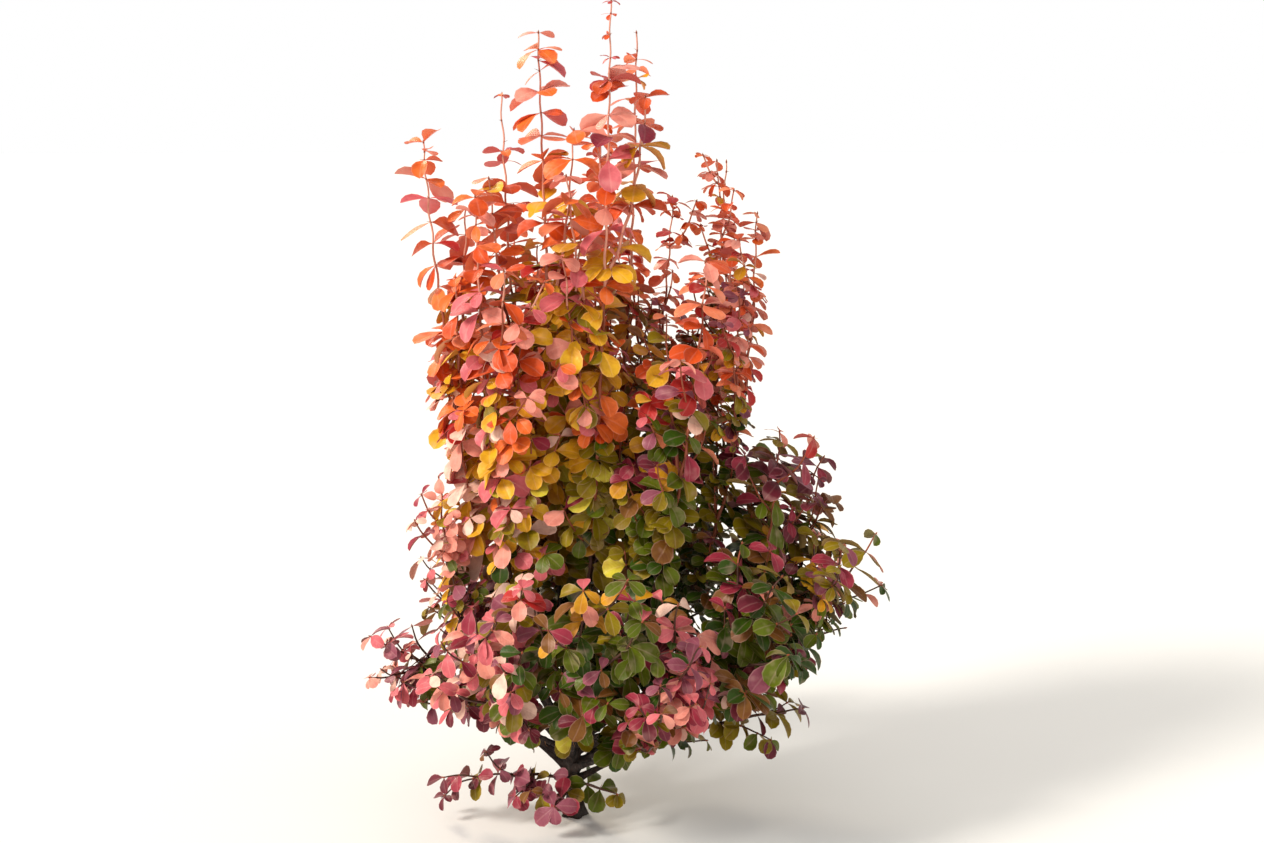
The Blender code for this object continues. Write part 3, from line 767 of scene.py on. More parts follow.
def wavering_path(stem):
    """A stem's fine path, which strays a little to and fro from node to node."""
    path = smooth_path(stem.path, FINE_STEP)
    swing = WAVER * (TWIG_WAVER if stem.twig else 1.0)
    walked = 0.0
    fine = [path[0]]
    for a, b, ahead in zip(path, path[1:], path[2:] + [path[-1]]):
        walked += (b - a).length
        direction = (ahead - a).normalized()
        turn = walked / WAVER_LENGTH * math.pi
        fade = min(1.0, walked / WAVER_LENGTH)
        fine.append(b + around(direction, WAVER_TURN) * math.sin(turn) * swing * fade)
    return fine


def deselect_all():
    """Leaves nothing selected and no object active, so that an operator acts on its own object alone."""
    for obj in list(bpy.context.selected_objects):
        obj.select_set(False)
    bpy.context.view_layer.objects.active = None


def edit_all():
    """Goes to edit mode with all of the active object's mesh selected."""
    bpy.ops.object.mode_set(mode="EDIT")
    bpy.ops.mesh.select_all(action="SELECT")


def leave_edit_mode(obj):
    """Goes back to object mode with the object's mesh up to date."""
    bpy.ops.object.mode_set(mode="OBJECT")
    obj.data.update()


def start_from_circle(sides, radius):
    """A filled circle round the origin, all selected in edit mode, to be drawn out into a limb."""
    deselect_all()
    bpy.ops.mesh.primitive_circle_add(
        vertices=sides, radius=radius, fill_type="NGON", location=(0.0, 0.0, 0.0)
    )
    edit_all()
    return bpy.context.object


def draw_out(step, size, centre):
    """Extrudes the selected end by a step and scales it about its new middle."""
    bpy.ops.mesh.extrude_region_move(TRANSFORM_OT_translate={"value": step})
    bpy.ops.transform.resize(value=(size, size, 1.0), center_override=centre)


def close_limb(limb):
    """Turns the faces of a limb that is drawn out to its end outwards, and leaves edit mode."""
    bpy.ops.mesh.select_all(action="SELECT")
    bpy.ops.mesh.normals_make_consistent(inside=False)
    leave_edit_mode(limb)


def select_verts(mesh, test):
    """Selects, from object mode, the vertices that pass a test and nothing else."""
    for face in mesh.polygons:
        face.select = False
    for edge in mesh.edges:
        edge.select = False
    for vertex in mesh.vertices:
        vertex.select = bool(test(vertex.co))


def joined_object(name, points, faces, material):
    """One object of many closed shapes, from their points and faces."""
    mesh = bpy.data.meshes.new(name)
    mesh.from_pydata([p[:] for p in points], [], faces)
    return finished_object(name, mesh, material)


def dress_mesh(mesh, material):
    """Shades a mesh smooth but for its sharp edges, and gives it its material."""
    mesh.shade_smooth()
    mesh.set_sharp_from_angle(angle=SHARP_EDGE)
    mesh.materials.append(material)


def linked_object(name, data):
    """A new object of a mesh, a light or a camera, at the origin of the open scene."""
    obj = bpy.data.objects.new(name, data)
    bpy.context.scene.collection.objects.link(obj)
    return obj


def finished_object(name, mesh, material):
    """An object at the origin of a mesh that is built."""
    mesh.update(calc_edges=True)
    dress_mesh(mesh, material)
    return linked_object(name, mesh)


def keep_piece(obj, nodes):
    """Fixes a finished piece to the plant, in place of the nodes that it stands for."""
    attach(obj, "root")
    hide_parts(*nodes)
    if len(obj.data.polygons) == 0:
        raise RuntimeError(f"{obj.name} has no faces")
    return obj


class Tubes:
    """The points and faces of many closed tubes."""

    def __init__(self):
        self.points = []
        self.faces = []

    def add(self, path, radius_at, sides):
        """A tube round a path. radius_at gives the radius at a point's number and an angle round it."""
        side = across(path[1] - path[0])
        first = len(self.points)
        for i, (point, tangent) in enumerate(zip(path, tangents_of(path))):
            side = (side - tangent * side.dot(tangent)).normalized()
            other = tangent.cross(side)
            for k in range(sides):
                turn = 2 * math.pi * k / sides
                reach = side * math.cos(turn) + other * math.sin(turn)
                self.points.append(point + reach * radius_at(i, turn))
        last = len(self.points) - sides
        for low in range(first, last, sides):
            for k in range(sides):
                nxt = (k + 1) % sides
                self.faces.append((low + k, low + nxt, low + sides + nxt, low + sides + k))
        self.faces.append(tuple(range(first, first + sides))[::-1])
        self.faces.append(tuple(range(last, last + sides)))


TRUNK_RINGS = 58
# Rise and shrinkage of each ring over the trunk's top.
DOME = ((0.0014, 0.80), (0.0010, 0.62), (0.0006, 0.45))
# How fast the bark's cracks, lumps and grain change, over a metre.
CRACK_SCALE = 260.0
LUMP_SCALE = 95.0
GRAIN_SCALE = 900.0
CRACK_STRETCH = 0.18  # how much slower cracks change up a limb than round it
CRACK_DEPTH = 2.6  # how far the bark falls into them
CRACK_SHARE = 0.55
LUMP_SHARE = 0.75
GRAIN_SHARE = 0.16
BARK_LEVEL = 0.45  # taken off, so that the limb stays as thick as its solid


def bark_relief(place, depth):
    """How far the bark stands out at a place: ridges between long cracks, lumps and grain."""
    cracks = noise.noise(Vector((place.x, place.y, place.z * CRACK_STRETCH)) * CRACK_SCALE)
    ridges = (1.0 - abs(cracks) * CRACK_DEPTH) * CRACK_SHARE
    lumps = noise.noise(place * LUMP_SCALE) * LUMP_SHARE
    grain = noise.noise(place * GRAIN_SCALE) * GRAIN_SHARE
    return depth * (ridges + lumps + grain - BARK_LEVEL)


def model_trunk(stem, material):
    """The trunk: a circle extruded up through its rings, whose surface is then given its lobes and bark."""
    place, radius = trunk_centre(0.0), trunk_radius(0.0)
    trunk = start_from_circle(stem.sides, radius)
    trunk.name = "trunk_bark"
    for i in range(1, TRUNK_RINGS + 1):
        nxt = trunk_centre(TRUNK_HEIGHT * i / TRUNK_RINGS)
        size = trunk_radius(i / TRUNK_RINGS)
        draw_out(nxt - place, size / radius, nxt)
        place, radius = nxt, size
    for rise, shrink in DOME:
        place = place + UP * rise
        draw_out(UP * rise, shrink, place)
    close_limb(trunk)
    for vertex in trunk.data.vertices:
        part = vertex.co.z / TRUNK_HEIGHT
        middle = trunk_centre(vertex.co.z)
        out = level_part(vertex.co - middle)
        lobes = FLARE_DEPTH * max(0.0, 1 - part / FLARE_TOP)
        swell = 1 + lobes * math.cos(FLARE_LOBES * math.atan2(out.y, out.x))
        reach = out * swell + out.normalized() * bark_relief(vertex.co, stem.relief)
        vertex.co = middle + reach
    dress_mesh(trunk.data, material)
    return trunk


COLLAR = 0.75  # how much thicker a bough is where it leaves the trunk
COLLAR_LENGTH = 0.007
BOUGH_DETAIL = 12
BOUGH_STEP = 0.0022  # between the rings of a bough
BOUGH_RELIEF = 0.00042
BOUGH_FADE = 0.004  # length over which the bark's relief fades out at the bough's tip
KNOB_SPACING = 0.021  # between the old nodes that swell a bough
KNOB_SWELL = 0.16
KNOB_SHARPNESS = 8


def model_boughs(material):
    """Every bough as a tube with a collar at the trunk, old nodes and its bark's relief."""
    tubes = Tubes()
    for _, line in BOUGH_LINES:
        size = path_length(line_path(line, 0.0, line.bare, BOUGH_RINGS))
        path = line_path(line, 0.0, line.bare, round(size / BOUGH_STEP))
        walked = np.linspace(0.0, size, len(path))

        def radius_at(i, turn, path=path, walked=walked, size=size, seed=line.side):
            place = walked[i]
            radius = between(BOUGH_BASE_RADIUS, BOUGH_TIP_RADIUS, place / size)
            collar = 1 + COLLAR * math.exp(-max(0.0, place - BOUGH_SEAT) / COLLAR_LENGTH)
            swell = max(0.0, math.cos(2 * math.pi * place / KNOB_SPACING)) ** KNOB_SHARPNESS * KNOB_SWELL
            spot = Vector((math.cos(turn) * radius, math.sin(turn) * radius, place + seed))
            fade = min(1.0, (size - place) / BOUGH_FADE)
            return radius * collar * (1 + swell * fade) + bark_relief(spot, BOUGH_RELIEF) * fade

        tubes.add(path, radius_at, BOUGH_DETAIL)
    return joined_object("bough_bark", tubes.points, tubes.faces, material)


TWIG_DETAIL = 6


def bark_kind(height):
    """The age of the bark at a height."""
    if height > YOUNG_HEIGHT:
        return "young"
    return "red" if height > RED_HEIGHT else "brown"


def model_twigs(finishes):
    """Every leader, side shoot and twig as tubes, cut where the bark changes its colour."""
    _, stems = grown_crown()
    kinds = {kind: Tubes() for kind in finishes}
    for stem in stems:
        path = wavering_path(stem)
        radii = np.linspace(stem.radius, stem.tip_radius, len(path))
        start = 0
        for i in range(1, len(path)):
            kind = bark_kind(path[i - 1].z)
            if i == len(path) - 1 or bark_kind(path[i].z) != kind:
                run = path[start : i + 1]
                sizes = radii[start : i + 1]
                kinds[kind].add(run, lambda n, turn, sizes=sizes: sizes[n], TWIG_DETAIL)
                start = i
    return [
        joined_object(f"twigs_{kind}", tubes.points, tubes.faces, finishes[kind])
        for kind, tubes in kinds.items()
        if tubes.faces
    ]


# The bands of a leaf from its stalk to its tip, and half its width at each, of half its greatest width.
LEAF_ROWS = (0.0, 0.13, 0.34, 0.55, 0.76, 0.92, 1.0)
LEAF_WIDTHS = (0.0, 0.17, 0.68, 0.98, 0.95, 0.58, 0.0)
LEAF_COLUMNS = 4
MERGE = 0.00001  # nearer than this a pattern's point counts as being at a place
LEAF_MERGE = 10 * MERGE  # points of the leaf that are nearer to each other become one
STALK = 0.01  # half widths less than this count as a point
BELOW = 0.5  # how deep the underside of the flat pattern leaf lies


class Pattern(NamedTuple):
    """A shape to be copied many times: its points, and its faces' corners laid end to end."""

    points: np.ndarray
    corners: np.ndarray
    starts: np.ndarray
    uvs: np.ndarray


def pattern_of(obj, uvs=None):
    """Takes a modelled shape as a pattern, and removes its object."""
    mesh = obj.data
    points = np.array([v.co[:] for v in mesh.vertices])
    corners = np.array([loop.vertex_index for loop in mesh.loops])
    starts = np.array([face.loop_start for face in mesh.polygons])
    found = Pattern(points, corners, starts, uvs(mesh) if uvs else np.zeros((len(corners), 2)))
    bpy.data.objects.remove(obj)
    return found


def half_width(x):
    """Half the width of the pattern leaf at a share of its length."""
    return float(np.interp(x, LEAF_ROWS, LEAF_WIDTHS))


def leaf_uvs(mesh):
    """Across and along the blade, with the underside's one to the right of the upper side's."""
    uvs = []
    for face in mesh.polygons:
        under = 1.0 if face.normal.z < 0.0 else 0.0
        for index in face.vertices:
            place = mesh.vertices[index].co
            half = half_width(place.x)
            part = 0.5 + 0.5 * place.y / half if half > STALK else 0.5
            uvs.append((min(max(part, 0.0), 1.0) + under, place.x))
    return np.array(uvs)


def model_leaf():
    """A flat spoon-shaped leaf, one long and two wide, closed by an underside below it, as a pattern."""
    deselect_all()
    bands = len(LEAF_ROWS) - 1
    bpy.ops.mesh.primitive_grid_add(x_subdivisions=bands, y_subdivisions=LEAF_COLUMNS, size=2.0)
    leaf = bpy.context.object
    mesh = leaf.data
    for order in reversed(range(bands + 1)):
        place = -1.0 + 2.0 * order / bands
        select_verts(mesh, lambda co: abs(co.x - place) < MERGE)
        bpy.ops.object.mode_set(mode="EDIT")
        wide = max(LEAF_WIDTHS[order], MERGE)
        bpy.ops.transform.resize(value=(1.0, wide, 1.0), center_override=(0.0, 0.0, 0.0))
        bpy.ops.transform.translate(value=(LEAF_ROWS[order] - place, 0.0, 0.0))
        leave_edit_mode(leaf)
    edit_all()
    bpy.ops.mesh.remove_doubles(threshold=LEAF_MERGE)
    bpy.ops.mesh.duplicate()
    bpy.ops.mesh.flip_normals()
    leave_edit_mode(leaf)
    for vertex in mesh.vertices:
        inside = abs(vertex.co.y) < half_width(vertex.co.x) - STALK
        if vertex.select and inside:  # the copy is what is selected, and its rim joins the upper side's
            vertex.co.z = -BELOW
    edit_all()
    bpy.ops.mesh.remove_doubles(threshold=LEAF_MERGE)
    leave_edit_mode(leaf)
    return pattern_of(leaf, leaf_uvs)


def copied_object(name, pattern, points, material):
    """One object of many copies of a pattern, whose points are given copy by copy."""
    count, each = points.shape[0], len(pattern.points)
    corners = (pattern.corners[None] + np.arange(count)[:, None] * each).ravel()
    starts = (pattern.starts[None] + np.arange(count)[:, None] * len(pattern.corners)).ravel()
    mesh = bpy.data.meshes.new(name)
    mesh.vertices.add(count * each)
    mesh.vertices.foreach_set("co", points.astype(np.float32).ravel())
    mesh.loops.add(len(corners))
    mesh.loops.foreach_set("vertex_index", corners.astype(np.int32))
    mesh.polygons.add(len(starts))
    mesh.polygons.foreach_set("loop_start", starts.astype(np.int32))
    mesh.update(calc_edges=True)
    layer = mesh.uv_layers.new(name="blade")
    layer.data.foreach_set("uv", np.tile(pattern.uvs, (count, 1)).astype(np.float32).ravel())
    return finished_object(name, mesh, material)


CROWN_MIDDLE = 0.030  # to the right of the origin, of the crown's outline in plan at its top
CROWN_DEPTH = 0.80  # of the crown from front to back, of its width
RIM_START = 0.95
RIM_FADE = 0.45
# The crown's outer radius at heights.
CROWN_RADII = (
    (0.00, 0.10),
    (0.12, 0.17),
    (0.25, 0.22),
    (0.38, 0.18),
    (0.55, 0.15),
    (0.66, 0.11),
    (0.76, 0.05),
)


def outness(point):
    """How far out a point lies, from 0 at the crown's axis to about 1 at its rim."""
    part = min(1.0, point.z / PLANT_HEIGHT)
    heights, radii = zip(*CROWN_RADII)
    away = math.hypot(point.x - CROWN_MIDDLE * part, point.y / CROWN_DEPTH)
    return away / float(np.interp(point.z, heights, radii))


def inwardness(point):
    """How much a place counts as inside the crown: 1 well inside and 0 at the rim."""
    return min(1.0, max(0.0, (RIM_START - outness(point)) / RIM_FADE))


# The zones that some lines have for themselves, each with the place to the right of the trunk and the height
# beyond which it holds.
OWN_ZONES = {
    "upright_front": ("pink_front", -math.inf, 0.38),
    "spray_front_right": ("rosette", 0.065, 0.14),
    "drooping_right": ("foot_right", -math.inf, -math.inf),
    "foot_left": ("foot", -math.inf, -math.inf),
    "foot_front": ("foot", -math.inf, -math.inf),
    "foot_right": ("foot_right", -math.inf, -math.inf),
}
# The crown's other zones, band by band from the top: the height above which a band lies, and its zones from
# left to right, each with the place at which it ends.
ZONES = (
    (0.52, (("crest", 0.085), ("crest_right", math.inf))),
    (0.38, (("upper_left", -0.055), ("upper", 0.065), ("upper_right", math.inf))),
    (
        0.34,
        (
            ("waist_left", -0.04),
            ("waist_amber", 0.01),
            ("waist", 0.065),
            ("waist_right", 0.17),
            ("far_right", math.inf),
        ),
    ),
    (0.30, (("waist_left", -0.03), ("waist", 0.065), ("waist_right", 0.17), ("far_right", math.inf))),
    (0.25, (("waist_left", -0.03), ("waist", 0.065), ("waist_right", 0.17), ("sunny_right", math.inf))),
    (0.23, (("skirt_left", -0.04), ("skirt", 0.055), ("skirt_right", 0.17), ("sunny_right", math.inf))),
    (-math.inf, (("skirt_left", -0.04), ("skirt", 0.055), ("skirt_right", math.inf))),
)
# How far a spray may stray from its place when its zone is found, sideways and up.
ZONE_BLUR = (0.018, 0.022)
RIM_SHARE = 0.62  # how much a leaf's place in the crown counts for its tint, beside its place on its stem
TURN_BLUR = 0.10
TURNED = 0.66  # beyond which a leaf takes the rim's mix


def zone_of(owner, x, z):
    """The part of the crown whose mix of tints a place has."""
    own, left, bottom = OWN_ZONES.get(LINES[owner].name, (None, math.inf, math.inf))
    if x > left and z > bottom:
        return own
    band = next(zones for bottom, zones in ZONES if z > bottom)
    return next(zone for zone, end in band if x < end)


def tint_of(owner, point, part, chance):
    """The tint of a spray, from where it is in the crown and how near its stem's tip. The crown's places also
    carry painted sunlight and shade.
    """
    sideways, up = ZONE_BLUR
    zone = zone_of(owner, point.x + chance.gauss(0.0, sideways), point.z + chance.gauss(0.0, up))
    turned = RIM_SHARE * outness(point) + (1 - RIM_SHARE) * part + chance.gauss(0.0, TURN_BLUR)
    mix = MIXES[zone][0 if turned > TURNED else 1]
    return chance.choices(list(mix), weights=list(mix.values()))[0]


TOP_LEAN = 0.20  # how far the faces of the highest leaves lean outwards
RIM_LOW_LEAN = 0.95  # and those of low leaves at the rim
INNER_LEAN = 1.25  # and of low leaves inside the crown
LEVEL_HEIGHT = 0.60  # above which leaves are nearly level


def leaf_axes(root, direction, turn, sway, forward):
    """A leaf's own axes: along its blade, across it, and out of its upper face, which turns to the light."""
    outward = around(direction, turn) + direction * forward
    low_lean = between(RIM_LOW_LEAN, INNER_LEAN, inwardness(root))
    lean = between(low_lean, TOP_LEAN, min(1.0, root.z / LEVEL_HEIGHT) ** 2)
    light = level_part(root).normalized()
    face = (UP + light * lean + sway).normalized()
    blade = (outward - face * outward.dot(face)).normalized()
    return blade, face.cross(blade), face


FOLD = (-0.1, 0.5)  # rise of a leaf's sides, of half its width
ARCH_RANGE = (0.4, 1.4)  # of a leaf's bend, of the usual one
WIDTH_RANGE = (0.9, 1.1)  # of a leaf's width, of the usual one
WIDEST = 0.6  # share of a leaf's length at which it is about widest
FORWARD = (0.10, 0.55)  # lean of a leaf towards its stem's tip, at the low nodes and at the tip
FORWARD_RISE = 3  # power by which that lean grows along the stem
SIZE_SPREAD = 0.22
TURN_SPREAD = 0.38  # how far leaves stray from their even places round a node
TIP_START = 0.93  # share of a stem beyond which its nodes crowd and its leaves are young
SMALLEST = 0.62  # size of the youngest leaves, of the others'
TWIG_LEAF = 0.86  # size of a twig's leaves, of a shoot's
FIRST_NODE = (0.5, 0.9)  # range of the first node's distance from the root, of the usual spacing
NODE_JITTER = (0.85, 1.15)  # range of the distances between nodes, of the usual spacing
LAST_NODE = 0.997  # share of a stem at which its last node stands
WHIP_LEAVES = 0.45  # share of the nodes of a bare tip that bear leaves
OWN_MIND = 0.25  # share of leaves that don't take their spray's tint
INNER_SHRINK = 0.14  # how much smaller the innermost leaves are
TIP_SPACING = 0.45  # between the nodes at a tip, of the others' spacing
WHIP_SIZE = 0.30  # size of the few leaves on a bare tip, of the others'
REACH_OVER = 0.012  # how far leaves may stand out beyond the solids


def in_reach(spots):
    """Whether all points lie within the solids' own box, give or take a little."""
    low, high = (np.array(corner[:]) for corner in CAD_BOX)
    return bool((spots > low - REACH_OVER).all() and (spots < high + REACH_OVER).all())


def leaf_at(stem, root, direction, turn, part, size, tint, chance):
    """One leaf of a node, or None where it would leave the crown's space or touch a limb."""
    leaf = settings().leaf
    line = LINES[stem.owner]
    sway = Vector((chance.gauss(0.0, leaf.sway), chance.gauss(0.0, leaf.sway), 0.0))
    axes = leaf_axes(root, direction, turn, sway, between(*FORWARD, part**FORWARD_RISE))
    long = size * (1 + chance.uniform(-SIZE_SPREAD, SIZE_SPREAD))
    arch = leaf.arch * chance.uniform(*ARCH_RANGE)
    fold = chance.uniform(*FOLD)
    tip = root + axes[0] * long
    roundness = between(leaf.width, leaf.inner_width, inwardness(root))
    wide = long * roundness * chance.uniform(*WIDTH_RANGE)
    side = axes[1] * wide / 2
    middle = root + axes[0] * long * WIDEST
    spots = np.array([p[:] for p in (tip, middle, middle + side, middle - side)])
    if any(spot[2] < hem(line, spot) for spot in spots) or not in_reach(spots):
        return None
    crown, _ = grown_crown()
    if not crown.clear_of_limbs(spots, LEAF_LIMB_CLEAR):
        return None
    if not crown.clear_of_others(stem.owner, spots, LEAF_STEM_CLEAR):
        return None
    return Leaf(root, axes, long, wide, arch, fold, tint, stem.owner)


def leaves_of_node(stem, root, direction, turn, part, size, chance):
    """The whorl of leaves at a node, all or most of one tint."""
    leaf = settings().leaf
    count = chance.randint(leaf.fewest, leaf.most)
    tint = tint_of(stem.owner, root, part, chance)
    found = []
    for k in range(count):
        own = tint_of(stem.owner, root, part, chance) if chance.random() < OWN_MIND else tint
        angle = turn + 2 * math.pi * k / count + chance.gauss(0.0, TURN_SPREAD)
        found.append(leaf_at(stem, root, direction, angle, part, size, own, chance))
    return [one for one in found if one]


SPUR_SPACING = 0.013  # between the leafy spurs of a bough
SPUR_START = 0.45  # share of a bough at which its first spur stands
SPUR_HEIGHT = 0.092  # above the ground that spurs keep
SPUR_SIZE = 0.85  # size of a spur's leaves, of the others'
SPUR_BUD = 1.6  # size of a spur's knob, of a shoot's lowest
SPUR_JITTER = (0.7, 1.3)  # range of the distances between spurs, of the usual one
SPUR_POINTS = 18  # points of the bough's path that bears them
TIP_BUD = 0.5  # size of the knob at a stem's tip, of its lowest
SPINE_TURN = 0.5  # radians round the stem, from a node's first leaf to its spine


def grow_spurs(leaves, buds):
    """The leaves of the short spurs that stand on the outer part of each bough."""
    for owner, line in BOUGH_LINES:
        chance = random.Random(line.name + " spurs")
        path = line_path(line, 0.0, line.bare, SPUR_POINTS)
        size = path_length(path)
        bough = Stem(owner, path, BOUGH_TIP_RADIUS, BOUGH_TIP_RADIUS)
        place = size * SPUR_START
        turn = any_turn(chance)
        while place < size:
            root, direction = along(path, place / size)
            long = settings().leaf.low * SPUR_SIZE
            if root.z > SPUR_HEIGHT:
                leaves.extend(leaves_of_node(bough, root, direction, turn, 0.0, long, chance))
            buds.append(Bud(root, direction, around(direction, turn + SPINE_TURN), SPUR_BUD))
            turn += GOLDEN_ANGLE
            place += SPUR_SPACING * chance.uniform(*SPUR_JITTER)


def node_places(stem, size, spacing, chance):
    """Distances along a stem to its nodes, closer at its tip, where the last one is."""
    place = spacing * chance.uniform(*FIRST_NODE)
    places = []
    while place < size - spacing * TIP_SPACING:
        places.append(place)
        near_tip = TIP_START < place / (size - stem.whip) < 1.0
        place += spacing * (TIP_SPACING if near_tip else 1.0) * chance.uniform(*NODE_JITTER)
    return places + [size * LAST_NODE]


@functools.cache
def grown_leaves():
    """All leaves of the plant, and the nodes that they grow from."""
    leaf = settings().leaf
    leaves, buds = [], []
    grow_spurs(leaves, buds)
    for order, stem in enumerate(grown_crown()[1]):
        line = LINES[stem.owner]
        chance = random.Random(f"{line.name} nodes {order}")
        path = wavering_path(stem)
        size = path_length(path)
        leafy = size - stem.whip
        scale = LEAF_SIZES.get(line.name, 1.0) * (TWIG_LEAF if stem.twig else 1.0)
        turn = any_turn(chance)
        for place in node_places(stem, size, leaf.spacing * min(scale, 1.0), chance):
            bare = place > leafy
            part = min(1.0, place / leafy)
            root, direction = along(path, place / size)
            long = between(leaf.low, leaf.high, part) * scale
            long *= 1.0 - INNER_SHRINK * inwardness(root)
            if bare:
                long *= WHIP_SIZE
            elif part > TIP_START:
                long *= chance.uniform(SMALLEST, 1.0)
            if not bare or chance.random() < WHIP_LEAVES:
                leaves.extend(leaves_of_node(stem, root, direction, turn, part, long, chance))
            spine_way = around(direction, turn + SPINE_TURN)
            buds.append(Bud(root, direction, spine_way, between(1.0, TIP_BUD, part)))
            turn += GOLDEN_ANGLE
    return leaves, buds


def column(values):
    """Numbers or points, one for each leaf, as an array that meets the pattern's points."""
    return np.array(values).reshape(len(values), 1, -1)


def placed_leaves(pattern, leaves):
    """The points of every leaf: the flat pattern bent along its arch and folded at its midrib."""
    leaf = settings().leaf
    roots = column([one.root[:] for one in leaves])
    blade, wide, face = (column([axis[:] for axis in own]) for own in zip(*(one.axes for one in leaves)))
    long = column([one.length for one in leaves])
    half = column([one.width / 2 for one in leaves])
    arch = column([one.arch for one in leaves])
    fold = column([one.fold for one in leaves])
    x, y, z = (pattern.points[None, :, k : k + 1] for k in range(3))
    bend = arch * x
    level = np.sin(bend) / arch
    drop = (1 - np.cos(bend)) / arch
    lift = fold * np.abs(y) * half + z / BELOW * leaf.depth * long
    return (
        roots
        + blade * (long * level + lift * np.sin(bend))
        + wide * half * y
        + face * (lift * np.cos(bend) - long * drop)
    )


SPINE_SIDES = 3
SPINE_WIDTH = 0.09
# The two joints of a spine: how far each runs on and to the side, and what is left of its width at its end.
SPINE_JOINTS = ((0.55, 0.0, 0.55), (0.45, 0.09, 0.10))
BUD_SIDES = 5
BUD_RINGS = 3
BUD_POINT = 0.7  # how far a bud's tip is drawn out, of its radius
BUD_LENGTH = 0.0016
BUD_WIDTHS = (0.0004, 0.0016)  # of the smallest bud and of a shoot's lowest
SPINE_RANGE = (0.5, 1.0)  # of a spine's length, of the longest
SPINE_FORWARD = (0.1, 0.6)  # lean of a spine towards its stem's tip


def model_spine():
    """A thin three-sided spine, one long and a little bowed, as a pattern."""
    spine = start_from_circle(SPINE_SIDES, SPINE_WIDTH)
    place = Vector((0.0, 0.0, 0.0))
    for rise, bow, shrink in SPINE_JOINTS:
        step = Vector((bow, 0.0, rise))
        place = place + step
        draw_out(step, shrink, place)
    close_limb(spine)
    return pattern_of(spine)


def model_bud():
    """The pointed knob from which the leaves of a node spring, as a pattern."""
    deselect_all()
    bpy.ops.mesh.primitive_uv_sphere_add(
        segments=BUD_SIDES, ring_count=BUD_RINGS, radius=1.0, location=(0.0, 0.0, 0.0)
    )
    bud = bpy.context.object
    select_verts(bud.data, lambda co: co.z > 1.0 - MERGE)
    bpy.ops.object.mode_set(mode="EDIT")
    bpy.ops.transform.translate(value=(0.0, 0.0, BUD_POINT))
    leave_edit_mode(bud)
    return pattern_of(bud)


def turned_copies(pattern, places, aims, sizes):
    """The points of copies of a pattern that point their Z along an aim. A size has three scales."""
    points = []
    for place, aim, size in zip(places, aims, sizes):
        turn = aim.to_track_quat("Z", "Y").to_matrix()
        points.append(np.array(place[:]) + (pattern.points * np.array(size)) @ np.array(turn).T)
    return np.array(points)


class Shade:
    """A number or colour in a material's nodes, on which Python's own operators work."""

    def __init__(self, finish, socket):
        self.finish = finish
        self.socket = socket

    def _maths(self, operation, *values):
        return self.finish.node("ShaderNodeMath", {"operation": operation}, dict(enumerate(values)))

    def __add__(self, other):
        return self._maths("ADD", self, other)

    def __mul__(self, other):
        return self._maths("MULTIPLY", self, other)

    def __sub__(self, other):
        return self._maths("SUBTRACT", self, other)

    def __rsub__(self, other):
        return self._maths("SUBTRACT", other, self)

    def __gt__(self, other):
        return self._maths("GREATER_THAN", self, other)

    def __abs__(self):
        return self._maths("ABSOLUTE", self)

    __radd__ = __add__
    __rmul__ = __mul__

    def ramp(self, low, high):
        """Rises smoothly from 0 where the number is low to 1 where it is high."""
        limits = {"Value": self, "From Min": low, "From Max": high}
        return self.finish.node("ShaderNodeMapRange", {"interpolation_type": "SMOOTHSTEP"}, limits)

    def wave(self, speed):
        """Swings from -1 to 1 and back as the number grows."""
        return self._maths("SINE", self * speed)


class Marking(NamedTuple):
    """A marking of soft noise: its changes over a metre, and the levels at which it starts and is full."""

    scale: float
    low: float
    high: float
    detail: float = 3.0
    stretch: tuple = ()


# The sockets of the Mix node's two colours and of the colour between them.
MIX_LOW = 6
MIX_HIGH = 7
MIXED = 2


